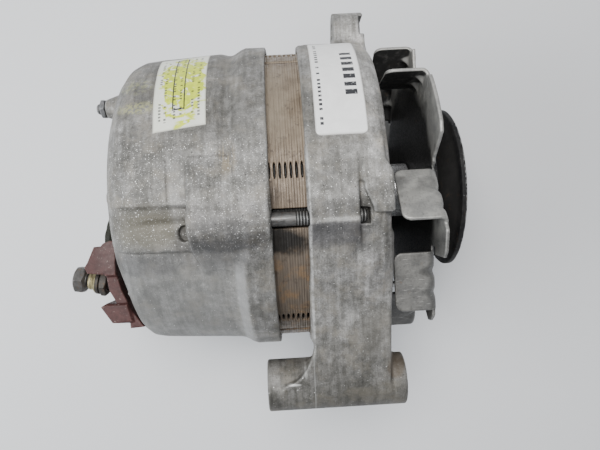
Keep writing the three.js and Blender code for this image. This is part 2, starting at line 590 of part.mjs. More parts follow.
// ---------------------------------------------------------------- rectifier
const DIODE = { radius: 6.3, hole: 6.6, leadR: 0.9 };
const HEAT_SINKS = [
  {
    name: 'negative', arc: [-28, 118], radii: [25, 50], x: [-64.5, -62],
    pitchR: 38, angles: [2, 45, 92], canEnd: -57, leadEnd: -52,
  },
  {
    name: 'positive', arc: [-125, -35], radii: [25, 48.5], x: [-54.5, -52],
    pitchR: 37, angles: [-110, -80, -50], canEnd: -46.5, leadEnd: -42,
  },
];
for (const { name, arc, radii, x, pitchR, angles, canEnd, leadEnd } of HEAT_SINKS) {
  let plate = sector(arc, radii, x, 8);
  angles.forEach((angle, i) => {
    const centre = polar(pitchR, angle);
    plate = plate.subtract(bar([x[0] - 5, x[1] + 5], centre, DIODE.hole, 12));
    const can = bar([x[0] - 0.5, canEnd], centre, DIODE.radius, 12);
    const lead = bar([canEnd - 0.5, leadEnd], centre, DIODE.leadR, 6);
    addMesh(`${name}_diode_${i + 1}`, can.add(lead), 'diode');
  });
  addMesh(`${name}_heat_sink`, plate, 'heatSink');
}

function exciterBoard() {
  const diodes = [-8, 22, 52].map(
    (angle) => rod([-49.5, ...polar(34, angle)], [-49.5, ...polar(42, angle)], 2.2, 8));
  return union([sector([-20, 66], [28, 46], [-49, -47.4], 10), ...diodes]);
}
addMesh('exciter_diode_board', exciterBoard(), 'board');

// ---------------------------------------------------------------- brush gear
const BRUSHES_X = SLIP_RINGS_X.map(([x0, x1]) => (x0 + x1) / 2);
const BRUSH = { halfX: 2.1, halfY: 3.9, z: [-28.2, -13.4] };   // z: back and contact face
const BRUSH_SLOT = { halfX: 2.45, halfY: 4.3, z: [-39.5, -10] };
const SPRING = {
  radius: 1.55, turns: 4, points: 36, halfWire: 0.28, z: [-39.1, BRUSH.z[0] - 0.35],
};

function brushHolder() {
  let body = box([-54.3, -40], [-7, 7], [-42, -15.8])
    .add(box([-74.6, -50], [-7, 7], [-42, -30]))
    .add(box([-77.2, -73.4], [-17, 17], [-46, -22]));
  const { halfX, halfY, z } = BRUSH_SLOT;
  for (const x of BRUSHES_X) body = body.subtract(box(around(x, halfX), around(0, halfY), z));
  body = body.subtract(box([-56, -41], [-1.6, 1.6], [-22, -10]));
  for (const screw of HOLDER_SCREWS) body = body.subtract(bar([-80, -60], screw, 2.2, 10));
  return body;
}
function brushSpring(x) {
  const { radius, turns, points, halfWire: half, z: [bottom, top] } = SPRING;
  const helix = Array.from({ length: points + 1 }, (_, i) => {
    const turn = i * turns * 2 * Math.PI / points;
    const z = bottom + i * (top - bottom) / points;
    return place(x + radius * Math.cos(turn), radius * Math.sin(turn), z);
  });
  const corners = [[-half, -half], [half, -half], [half, half], [-half, half]];
  const section = new THREE.Shape(vectors(corners));
  section.closePath();
  return sweep(section, helix, { steps: 30 });
}
addMesh('brush_holder', brushHolder(), 'brushHolder');
BRUSHES_X.forEach((x, i) => {
  const brush = box(around(x, BRUSH.halfX), around(0, BRUSH.halfY), BRUSH.z);
  addMesh(`brush_${i + 1}`, brush, 'brush');
  addMesh(`brush_spring_${i + 1}`, brushSpring(x), 'springSteel');
});
HOLDER_SCREWS.forEach((centre, i) => {
  const screw = bar([-77.5, -66], centre, 1.6, 10).add(bar([-80, -77.5], centre, 3.4, 12));
  addMesh(`holder_screw_${i + 1}`, screw, 'steel');
});

// ---------------------------------------------------------------- terminals
const BLOCK_OUTLINE = [                  // station, y, before scaling
  [-84.6, -19], [-81.7, -19.2], [-80.4, -17.6], [-77.6, -16.8], [-74.8, -17], [-75.8, -26.4],
  [-75.5, -33.2], [-74.1, -38.6], [-69.7, -48.4], [-65.2, -54.8], [-71.2, -55.1],
  [-71.3, -52.8], [-78.3, -52.2], [-83, -45.1], [-80.9, -43.8], [-76.4, -44.1],
  [-79.4, -38.5], [-80.6, -31.2], [-87.9, -30.4], [-89.1, -27.7], [-87.7, -25.6],
];
const BLOCK_SCALE = 0.9785;              // about station 0 and the Y below
const BLOCK_SCALE_Y = -14.4;

function terminalBlock() {
  const outline = BLOCK_OUTLINE.map(([x, y]) => [
    x * BLOCK_SCALE,
    BLOCK_SCALE_Y + (y - BLOCK_SCALE_Y) * BLOCK_SCALE,
  ]);
  return prismZ(outline, [7, 32])
    .subtract(rod(onTerminal(4), onTerminal(40), 3.8, 12))
    .subtract(rod(onTerminal(-4), onTerminal(15.2), 6.9, 14));
}
addMesh('terminal_block', terminalBlock(), 'phenolic');

const outputBolt = rod(onTerminal(5), onTerminal(40.2), 3, 12)
  .add(rod(onTerminal(0.3), onTerminal(5.5), 6.05, 6));
addMesh('output_terminal_bolt', outputBolt, 'terminalBolt');

// washer or nut on the output bolt, between two distances from the head centre
const outputRing = (from, to, radius, segments) =>
  rod(onTerminal(from), onTerminal(to), radius, segments)
    .subtract(rod(onTerminal(from - 5), onTerminal(to + 5), 3.3, 12));
addMesh('output_flat_washer', outputRing(7.6, 9.8, 4.8, 16), 'flatWasher');
addMesh('output_spring_washer', outputRing(10.1, 11.5, 5.5, 16), 'springWasher');
addMesh('output_nut', outputRing(11.8, 14.9, 6.1, 6), 'outputNut');

addMesh('aux_stud', bar([-85.2, -69.4], AUX_STUD, 2.45, 12), 'auxStud');
const auxNut = bar([-83.1, -81.2], AUX_STUD, 4.6, 6).subtract(bar([-90, -70], AUX_STUD, 2.8, 12));
addMesh('aux_stud_nut', auxNut, 'auxNut');

const WIRE_R = 2;
const WIRE_PATH = [                      // station, y, z
  [-75.4, 20, 15], [-76.6, 14.5, 15.5], [-79.3, 7, 16], [-81, -2, 16], [-81.2, -10, 17],
  [-80.6, -16.2, 18],
];
function leadWire() {
  const section = new THREE.Shape();
  section.absarc(0, 0, WIRE_R, 0, Math.PI * 2);
  const path = WIRE_PATH.map((point) => place(...point));
  return sweep(section, path, { steps: 10, curveSegments: 5 });
}
addMesh('lead_wire', leadWire(), 'wire');

// ---------------------------------------------------------------- labels
// Thin skins following the castings; a skin lies between two lifts off the surface.
const LABEL_LIFT = [0.12, 0.5];
function label(liftedBody, span, arc) {
  const [under, over] = LABEL_LIFT.map(liftedBody);
  return over.subtract(under).intersect(sector(arc, [40, 90], span, 60));
}
const liftedRear = (lift) => revolve([
  [-55, 0], ...REAR_BARREL.map(([x, radius]) => [x, radius + lift]), [REAR_BARREL[1][0], 0],
], SEGMENTS);
const liftedFront = (lift) => disc([9, 30.9], FLANGE_R + lift, SEGMENTS);
addMesh('rear_label', label(liftedRear, [-50, -28.5], [22, 66]), 'rearLabel');
addMesh('front_label', label(liftedFront, [11, 30.8], [16, 68]), 'frontLabel');

export default group;
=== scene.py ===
"""An alternator, lying with its shaft along x: pulley and fan at the +x (front) end,
terminals on the -x (rear) end, +z up.

Shapes are drawn in millimetres. A "station" is a distance along the shaft, counted from the
middle of the stator; object x is station + SHIFT. Angles about the shaft are in degrees from
+z toward +y. Castings are signed distance fields (negative inside), meshed by surface nets.
"""
import json
import math
from concurrent.futures import ThreadPoolExecutor
from functools import cached_property, reduce
from itertools import product

import bmesh
import bpy
import numpy as np
from mathutils import Matrix, Vector

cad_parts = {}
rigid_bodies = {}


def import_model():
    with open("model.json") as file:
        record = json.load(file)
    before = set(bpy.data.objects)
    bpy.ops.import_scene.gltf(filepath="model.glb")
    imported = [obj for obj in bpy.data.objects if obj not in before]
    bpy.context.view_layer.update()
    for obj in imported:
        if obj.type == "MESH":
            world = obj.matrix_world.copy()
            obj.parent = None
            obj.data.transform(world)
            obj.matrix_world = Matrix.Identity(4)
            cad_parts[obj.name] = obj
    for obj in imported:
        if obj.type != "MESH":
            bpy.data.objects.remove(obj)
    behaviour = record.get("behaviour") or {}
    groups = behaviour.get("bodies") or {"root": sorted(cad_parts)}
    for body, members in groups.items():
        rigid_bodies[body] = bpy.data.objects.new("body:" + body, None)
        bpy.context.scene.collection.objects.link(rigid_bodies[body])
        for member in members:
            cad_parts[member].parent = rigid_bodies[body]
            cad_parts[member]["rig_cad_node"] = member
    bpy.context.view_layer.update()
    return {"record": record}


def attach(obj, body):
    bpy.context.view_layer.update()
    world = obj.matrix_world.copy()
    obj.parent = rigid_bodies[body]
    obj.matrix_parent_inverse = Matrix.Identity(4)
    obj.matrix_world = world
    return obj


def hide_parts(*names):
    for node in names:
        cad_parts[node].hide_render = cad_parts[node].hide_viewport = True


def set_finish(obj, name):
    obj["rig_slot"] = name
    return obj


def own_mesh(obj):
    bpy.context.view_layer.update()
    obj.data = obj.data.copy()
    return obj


for old in list(bpy.data.objects):
    bpy.data.objects.remove(old)
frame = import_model()
f32 = np.float32
rad = math.radians

# ------------------------------------------------------------------ dimensions shared by pieces
SHIFT = -81.5
CAST_CELL = 0.62                    # grid size of the two castings
BOLT_ANGLES = [-10.5, 109.5, 229.5]
BOLT_RADIUS = 66.0                  # shaft line to through-bolt line
BOLT_HOLE = 3.1                     # radius of the clearance holes
FLAT_NORMAL, FLAT_DEPTH = (-0.927, -0.374), 75.5    # sloped flat of the rear housing, in x and y
# places across the shaft are (y, z)
PIVOT, PIVOT_R, PIVOT_BORE = (-82.0, 29.0), 10.7, 5.2
EAR, EAR_R, EAR_BORE = (74.5, 8.0), 8.3, 3.9
AUX = (43.7, 10.0)                  # auxiliary stud
TERMINAL = np.array([-95.5, -32.6, 20.0])           # start of the output bolt
TERMINAL_DIR = np.array([0.9844, -0.1759, 0.0])
SHEET = 0.0174533                   # one degree in radians, as used for window edges


# ------------------------------------------------------------------ distance-field toolkit


def union(a, b, soft):
    h = np.clip(0.5 + 0.5 * (b - a) / soft, 0, 1)
    return b + (a - b) * h - soft * h * (1 - h)


def carve(solid, cutter, soft):
    """The solid less the cutter, with a soft edge."""
    return -union(-solid, cutter, soft)


def common(a, b, soft):
    return -union(-a, -b, soft)


def overlap(*fields):
    """Sharp intersection."""
    return reduce(np.maximum, fields)


def fade(start, end, x):
    """0 at start, 1 at end, smooth between."""
    t = np.clip((x - start) / (end - start), 0, 1)
    return t * t * (3 - 2 * t)


def bell(x, centre, width):
    return np.exp(-((x - centre) / width) ** 2)


def extrude(flat, along, fillet=0.0):
    """flat is the distance in the outline's plane, along the distance across it."""
    a, b = flat + fillet, along + fillet
    outside = np.hypot(np.maximum(a, 0), np.maximum(b, 0))
    return np.minimum(np.maximum(a, b), 0) + outside - fillet


def slab(x, x0, x1):
    return np.abs(x - (x0 + x1) / 2) - (x1 - x0) / 2


def rod(u, v, centre, radius):
    """Distance to a circle in the plane of u and v."""
    return np.hypot(u - centre[0], v - centre[1]) - radius


def polar(radius, angle):
    return radius * math.sin(rad(angle)), radius * math.cos(rad(angle))


def fold(y, z, first=BOLT_ANGLES[0]):
    """Tangential and radial coordinate in the nearest of the three through-bolt sectors."""
    r = np.hypot(y, z)
    angle = np.degrees(np.arctan2(y, z)) - first
    angle = np.radians(np.mod(angle + 60, 120) - 60)
    return r * np.sin(angle), r * np.cos(angle)


def turn(y, z, angle):
    """Tangential and radial coordinate about the radius at this angle."""
    c, s = math.cos(rad(angle)), math.sin(rad(angle))
    return y * c - z * s, y * s + z * c


def window(y, z, angle, inner, outer, half_angle):
    """Plane sector between two radii."""
    r = np.hypot(y, z)
    t, n = turn(y, z, angle)
    off = np.abs(np.degrees(np.arctan2(t, np.maximum(n, 1e-3)))) + np.where(n < 0, 90, 0)
    return overlap(slab(r, inner, outer), (off - half_angle) * SHEET * np.maximum(r, 1))


def terminal_axis(x, y, z):
    """Distance along the output bolt and distance from its line."""
    px, py, pz = x - TERMINAL[0], y - TERMINAL[1], z - TERMINAL[2]
    t = px * TERMINAL_DIR[0] + py * TERMINAL_DIR[1]
    return t, np.sqrt(np.maximum(px * px + py * py + pz * pz - t * t, 0))


def polygon_distance(points, px, py):
    nearest = np.full(px.shape, 1e9)
    inside = np.zeros(px.shape, bool)
    for a, b in zip(points, np.roll(points, -1, 0)):
        ex, ey = b - a
        wx, wy = px - a[0], py - a[1]
        t = np.clip((wx * ex + wy * ey) / max(ex * ex + ey * ey, 1e-12), 0, 1)
        dx, dy = wx - ex * t, wy - ey * t
        nearest = np.minimum(nearest, dx * dx + dy * dy)
        crosses = (a[1] <= py) != (b[1] <= py)
        inside ^= crosses & (px < a[0] + (py - a[1]) * ex / (ey if abs(ey) > 1e-12 else 1e-12))
    return np.sqrt(nearest) * np.where(inside, -1, 1)


class Outline:
    """Tabulated signed distance to a closed outline. grow rounds convex corners by that radius."""

    def __init__(self, points, step=0.25, pad=14.0, grow=0.0):
        points = np.asarray(points, float)
        self.low = points.min(0) - pad
        self.step = step
        self.count = np.ceil((points.max(0) + pad - self.low) / step).astype(int) + 1
        axes = [self.low[k] + np.arange(self.count[k]) * step for k in (0, 1)]
        grid = np.meshgrid(*axes, indexing="ij")
        self.table = (polygon_distance(points, *grid) - grow).astype(f32)

    def __call__(self, x, y):
        u = np.clip((x - self.low[0]) / self.step, 0, self.count[0] - 1.001)
        v = np.clip((y - self.low[1]) / self.step, 0, self.count[1] - 1.001)
        i, j = u.astype(np.int32), v.astype(np.int32)
        fx, fy = (u - i).astype(f32), (v - j).astype(f32)
        T = self.table
        near = T[i, j] * (1 - fx) + T[i + 1, j] * fx
        far = T[i, j + 1] * (1 - fx) + T[i + 1, j + 1] * fx
        return near * (1 - fy) + far * fy


# ------------------------------------------------------------------ meshing


def surface_nets(field, origin, cell):
    """Naive surface nets of a sampled field. Returns vertices and quads."""
    nx, ny, nz = field.shape
    inside = field < 0
    corners = list(product((0, 1), repeat=3))
    count = np.zeros((nx - 1, ny - 1, nz - 1), np.int8)
    for dx, dy, dz in corners:
        count += inside[dx:nx - 1 + dx, dy:ny - 1 + dy, dz:nz - 1 + dz]
    cells = np.nonzero((count > 0) & (count < 8))
    total_cells = len(cells[0])
    index = np.full(count.shape, -1, np.int32)
    index[cells] = np.arange(total_cells)
    value = {c: field[tuple(k + d for k, d in zip(cells, c))] for c in corners}
    # each vertex is the mean of the crossings on its cell's edges
    total = np.zeros((total_cells, 3))
    crossings = np.zeros(total_cells)
    for a in corners:
        for axis in range(3):
            if a[axis]:
                continue
            va, vb = value[a], value[a[:axis] + (1,) + a[axis + 1:]]
            crossed = (va < 0) != (vb < 0)
            point = np.tile(np.array(a, float), (total_cells, 1))
            point[:, axis] = np.where(crossed, va / np.where(crossed, va - vb, 1), 0)
            total += point * crossed[:, None]
            crossings += crossed
    points = (total / crossings[:, None] + np.stack(cells, 1)) * cell + np.asarray(origin)
    quads = []
    for axis in range(3):
        o1, o2 = (axis + 1) % 3, (axis + 2) % 3
        at = np.array(np.nonzero(np.diff(inside, axis=axis)))
        inner = (at[o1] > 0) & (at[o2] > 0)
        inner &= (at[o1] < field.shape[o1] - 1) & (at[o2] < field.shape[o2] - 1)
        at = at[:, inner]
        ring = []
        for d1, d2 in ((1, 1), (0, 1), (0, 0), (1, 0)):
            j = at.copy()
            j[o1] -= d1
            j[o2] -= d2
            ring.append(index[tuple(j)])
        ring = np.stack(ring, 1)
        flip = ~inside[tuple(at)]
        ring[flip] = ring[flip][:, ::-1]
        quads.append(ring)
    return points, np.concatenate(quads)


def project(field, points, cell):
    """Draws the vertices onto the surface in two short steps."""
    e = 0.12
    for _ in range(2):
        x, y, z = points.T
        d = field(x, y, z)
        slope = np.stack([field(x + e, y, z) - field(x - e, y, z),
                          field(x, y + e, z) - field(x, y - e, z),
                          field(x, y, z + e) - field(x, y, z - e)], 1) / (2 * e)
        move = -slope * (d / np.maximum((slope * slope).sum(1), 0.25))[:, None]
        length = np.linalg.norm(move, axis=1)
        move *= np.minimum(1, 0.35 * cell / np.maximum(length, 1e-9))[:, None]
        points = points + move
    return points


def field_mesh(field, low, high, cell):
    """Samples the field only in blocks that the surface can cross, then meshes it."""
    B = 8                           # samples along a block's side
    low = np.asarray(low, float) - 2 * cell
    blocks = np.ceil((np.asarray(high, float) + 2 * cell - low) / (cell * B)).astype(int)
    centres = [low[k] + (np.arange(blocks[k]) * B + (B - 1) / 2) * cell for k in range(3)]
    X, Y, Z = np.meshgrid(*centres, indexing="ij")
    coarse = field(*(q.ravel().astype(f32) for q in (X, Y, Z))).reshape(X.shape)
    samples = np.where(coarse < 0, -9, 9).astype(f32)
    for axis in range(3):
        samples = np.repeat(samples, B, axis)
    active = np.argwhere(np.abs(coarse) < 0.5 * math.sqrt(3) * B * cell * 1.15 + 1.2)
    steps = np.arange(B) * cell
    offsets = [q.ravel() for q in np.meshgrid(steps, steps, steps, indexing="ij")]

    def sample(chunk):
        start = low + chunk * (B * cell)
        xyz = ((start[:, k:k + 1] + offsets[k]).ravel().astype(f32) for k in range(3))
        values = np.asarray(field(*xyz), f32).reshape(len(chunk), B, B, B)
        for block, v in zip(chunk, values):
            i, j, k = block * B
            samples[i:i + B, j:j + B, k:k + B] = v

    with ThreadPoolExecutor(4) as pool:
        list(pool.map(sample, [active[i:i + 256] for i in range(0, len(active), 256)]))
    points, quads = surface_nets(samples, low, cell)
    parts = np.array_split(points, max(1, len(points) // 20000))
    with ThreadPoolExecutor(4) as pool:
        points = np.concatenate(list(pool.map(lambda p: project(field, p, cell), parts)))
    return points, quads


def mesh_object(name, points, faces, smooth=True):
    """points in stations and millimetres; faces an array of equal faces, or a list."""
    points = np.asarray(points, float).copy()
    points[:, 0] += SHIFT
    points /= 1000
    mesh = bpy.data.meshes.new(name)
    if isinstance(faces, np.ndarray):
        sides = faces.shape[1]
        mesh.vertices.add(len(points))
        mesh.vertices.foreach_set("co", points.astype(f32).ravel())
        mesh.loops.add(faces.size)
        mesh.loops.foreach_set("vertex_index", faces.astype(np.int32).ravel())
        mesh.polygons.add(len(faces))
        starts = (np.arange(len(faces)) * sides).astype(np.int32)
        mesh.polygons.foreach_set("loop_start", starts)
        mesh.update(calc_edges=True)
    else:
        mesh.from_pydata(points.tolist(), [], faces)
    mesh.validate()
    if smooth:
        mesh.polygons.foreach_set("use_smooth", np.ones(len(mesh.polygons), bool))
    mesh.update()
    obj = bpy.data.objects.new(name, mesh)
    bpy.context.scene.collection.objects.link(obj)
    return obj


def face_outward(obj, sharp=None):
    """Turns the normals outward; edges bent by more than sharp radians stay crisp."""
    bm = bmesh.new()
    bm.from_mesh(obj.data)
    bmesh.ops.recalc_face_normals(bm, faces=bm.faces)
    if sharp is not None:
        for edge in bm.edges:
            if len(edge.link_faces) == 2 and edge.calc_face_angle(0) > sharp:
                edge.smooth = False
    bm.to_mesh(obj.data)
    bm.free()


def join(name, parts, sharp=None):
    """One object from several (points, faces) parts."""
    faces, start = [], 0
    for points, part_faces in parts:
        if isinstance(part_faces, np.ndarray):
            part_faces = part_faces.tolist()
        faces += [[i + start for i in face] for face in part_faces]
        start += len(points)
    obj = mesh_object(name, np.concatenate([points for points, _ in parts]), faces)
    face_outward(obj, sharp)
    return obj


def piece(obj, body, slot, node):
    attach(obj, body)
    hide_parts(node)
    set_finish(obj, slot)
    return obj


def rounded(profile, radius=0.4, steps=3, closed=True):
    """The profile with its corners rounded."""
    points = [np.array(p, float) for p in profile]
    out = []
    count = len(points)
    for i, p in enumerate(points):
        if not closed and i in (0, count - 1):
            out.append(p)
            continue
        a, b = points[i - 1], points[(i + 1) % count]
        la, lb = np.linalg.norm(a - p), np.linalg.norm(b - p)
        k = min(radius, la * 0.42, lb * 0.42)
        if k < 0.03:
            out.append(p)
            continue
        pa, pb = p + (a - p) / la * k, p + (b - p) / lb * k
        for t in np.linspace(0, 1, steps + 1):
            out.append(pa * (1 - t) ** 2 + 2 * p * t * (1 - t) + pb * t * t)
    return np.array(out)


def tube_faces(rings, segs, closed):
    """Quads between successive rings; an open run gets end caps."""
    faces = []
    k = np.arange(segs)
    after = (k + 1) % segs
    for i in range(rings if closed else rings - 1):
        j = (i + 1) % rings
        sides = (i * segs + k, i * segs + after, j * segs + after, j * segs + k)
        faces.append(np.stack(sides, 1))
    faces = np.concatenate(faces).tolist()
    if not closed:
        faces.append(list(range(segs))[::-1])
        faces.append([(rings - 1) * segs + q for q in range(segs)])
    return faces


def lathe(profile, centre=(0.0, 0.0), segs=96, closed=True, wobble=None):
    """Turned solid about a line parallel to the shaft. An open profile starts and ends on it."""
    profile = np.asarray(profile, float)
    rings = len(profile)
    x = np.repeat(profile[:, 0], segs)
    angle = np.tile(np.arange(segs) * 2 * math.pi / segs, rings)
    r = np.repeat(profile[:, 1], segs)
    if wobble is not None:
        dx, dr = wobble(r, angle)
        x, r = x + dx, r + dr
    points = np.stack([x, centre[0] + r * np.sin(angle), centre[1] + r * np.cos(angle)], 1)
    return points, tube_faces(rings, segs, closed)


def spindle(profile, fillet, centre=(0.0, 0.0), segs=32, steps=2):
    """Turned solid rod with rounded corners."""
    return lathe(rounded(profile, fillet, steps, closed=False), centre, segs, closed=False)


def thread(x0, x1, r, pitch, depth):
    """Turned outline of a screw thread between two stations."""
    n = max(1, int(round(abs(x1 - x0) / pitch)))
    s = (x1 - x0) / n
    out = []
    for k in range(n):
        x = x0 + k * s
        out += [(x + 0.05 * s, r - depth), (x + 0.42 * s, r)]
        out += [(x + 0.62 * s, r), (x + 0.97 * s, r - depth)]
    return out


def on_terminal(part):
    """Carries a part drawn about the x axis to the axis of the output bolt."""
    points, faces = part
    axis = TERMINAL_DIR / np.linalg.norm(TERMINAL_DIR)
    side = np.cross(np.array([0, 0, 1.0]), axis)
    side /= np.linalg.norm(side)
    up = np.cross(axis, side)
    return TERMINAL + points[:, :1] * axis + points[:, 1:2] * side + points[:, 2:] * up, faces


def hexagon(x0, x1, corner_r, chamfer, cell, bore=0.0, turned=0.0):
    """Hexagonal head or nut about the x axis, chamfered at both ends."""
    flat_r = corner_r * math.cos(math.pi / 6)

    def field(x, y, z):
        angle = np.arctan2(y, z) - turned
        angle = np.mod(angle + math.pi / 6, math.pi / 3) - math.pi / 6
        r = np.hypot(y, z)
        d = extrude(r * np.cos(angle) - flat_r, slab(x, x0, x1), 0.25)
        for beyond in (x0 + chamfer - x, x - x1 + chamfer):
            d = np.maximum(d, ((r - corner_r) + beyond * 1.6) * 0.53)
        return carve(d, r - bore, 0.3) if bore else d

    return field_mesh(field, (x0, -corner_r, -corner_r), (x1, corner_r, corner_r), cell)


def sweep(points, radius, segs, swell=None):
    """Round tube along the points; swell scales its radius along the run."""
    points = np.asarray(points, float)
    n = len(points)
    along = np.gradient(points, axis=0)
    along /= np.linalg.norm(along, axis=1)[:, None]
    side = np.zeros_like(along)
    ref = np.array([0, 0, 1.0]) if abs(along[0, 2]) < 0.9 else np.array([0, 1.0, 0])
    side[0] = np.cross(along[0], ref)
    side[0] /= np.linalg.norm(side[0])
    for i in range(1, n):
        v = side[i - 1] - along[i] * np.dot(side[i - 1], along[i])
        side[i] = v / np.linalg.norm(v)
    up = np.cross(along, side)
    a = np.arange(segs) * 2 * math.pi / segs
    radii = np.full(n, radius) if swell is None else swell(np.linspace(0, 1, n)) * radius
    circle = np.cos(a)[None, :, None] * side[:, None] + np.sin(a)[None, :, None] * up[:, None]
    out = (points[:, None] + radii[:, None, None] * circle).reshape(-1, 3)
    return out, tube_faces(n, segs, False)


def spline(points, n):
    """Smooth curve through the points."""
    points = np.asarray(points, float)
    t = np.r_[0, np.cumsum(np.linalg.norm(np.diff(points, axis=0), axis=1))]
    t /= t[-1]
    m = np.gradient(points, t, axis=0)
    u = np.linspace(0, 1, n)
    i = np.clip(np.searchsorted(t, u) - 1, 0, len(t) - 2)
    w = t[i + 1] - t[i]
    s = ((u - t[i]) / w)[:, None]
    w = w[:, None]
    start = (2 * s**3 - 3 * s**2 + 1) * points[i] + (s**3 - 2 * s**2 + s) * w * m[i]
    return start + (-2 * s**3 + 3 * s**2) * points[i + 1] + (s**3 - s**2) * w * m[i + 1]


# ------------------------------------------------------------------ rear housing
# profiles turned about the shaft: station, radius
REAR_RIM = [(-57.8, 62.4), (-50.6, 62.9), (-22.5, 64.4), (-20.3, 64.9), (-16.6, 67.1),
            (-15.0, 67.7), (-7.1, 67.7), (-7.1, -5)]
REAR_UPPER = Outline([
    (-72.4, -5), (-72.4, 38.0), (-71.3, 43.2), (-69.6, 48.6), (-67.5, 53.6), (-65.3, 57.4),
    (-62.3, 60.3), (-57.8, 62.1)] + REAR_RIM[1:], grow=0.6)
REAR_LOWER = Outline([
    (-72.4, -5), (-72.4, 36.5), (-71.0, 40.6), (-69.0, 46.4), (-67.0, 52.3), (-65.3, 57.4),
    (-63.9, 59.9), (-61.6, 61.7)] + REAR_RIM, grow=0.6)
REAR_CAVITY = Outline([
    (-2, -5), (-2, 65.2), (-14.8, 65.2), (-14.8, 61.4), (-48, 60), (-57, 57.4), (-62, 54.6),
    (-65.6, 50.8), (-67.8, 46.5), (-69, 42), (-69, -5)])
REAR_HUB = Outline([(-69.6, 9.6), (-69.6, 22.2), (-54.6, 22.2), (-54.6, 17.8), (-66.6, 17.8),
                    (-66.6, 9.6)])
# bolt boss in its sector: tangential, radial
REAR_BOSS = Outline([
    (-20.5, 59.0), (-18.2, 61.9), (-10.8, 65.4), (-8.6, 67.3), (-5.8, 69.7), (-3.0, 71.1),
    (1.0, 71.1), (7.0, 69.6), (12.5, 67.4), (17.5, 64.7), (23.0, 61.2), (20, 57), (-18, 57)],
    grow=0.4)
REAR_RIB_ANGLES = (0, 36, 81, 126, -54, -100, -140)
REAR_WINDOW_ANGLES = (-18, 18, 54, 108, 144)
BRUSH_SCREW_Y = (-12.3, 12.3)


def sloped_flat(x, y, depth):
    return depth - FLAT_NORMAL[0] * x - FLAT_NORMAL[1] * y


def rear_shell(x, y, z):
    """Outer skin of the housing with the terminal flat cut in."""
    r = np.hypot(y, z)
    angle = np.degrees(np.arctan2(y, z))
    # upper part of the shell stands proud, with a soft step down beside the bolt line
    raised = 1.35 * (fade(-6.0, -3.8, angle) * fade(178, 150, angle))
    raised = raised - 0.55 * fade(-6, -2, angle) * fade(14, 9, angle) * fade(-44.3, -43.4, x)
    raised = raised - 0.75 * fade(-18, -21, angle) * fade(-60, -36, angle)
    keep = fade(-21, -27, x) * fade(-72, -60, x)
    moved = x + 1.7 * fade(-22, -32, angle) * fade(-32, -25, x) * fade(-9, -14, x)
    low = fade(-30, -48, angle) * fade(-150, -122, angle)
    d = REAR_UPPER(moved, r) * (1 - low) + REAR_LOWER(moved, r) * low - raised * keep
    # sloped flat, the seat of the terminal block
    seat = overlap(sloped_flat(x, y, FLAT_DEPTH), -51.5 - y,
                   slab(z, -16.0, 37.0 - 13.0 * fade(-40.0, -51.0, y)))
    d = carve(d, seat, 0.9)
    # gentle sag of the casting skin
    return d + 0.10 * np.sin(y * 0.21 + 0.6) * np.sin(x * 0.17 + z * 0.13)


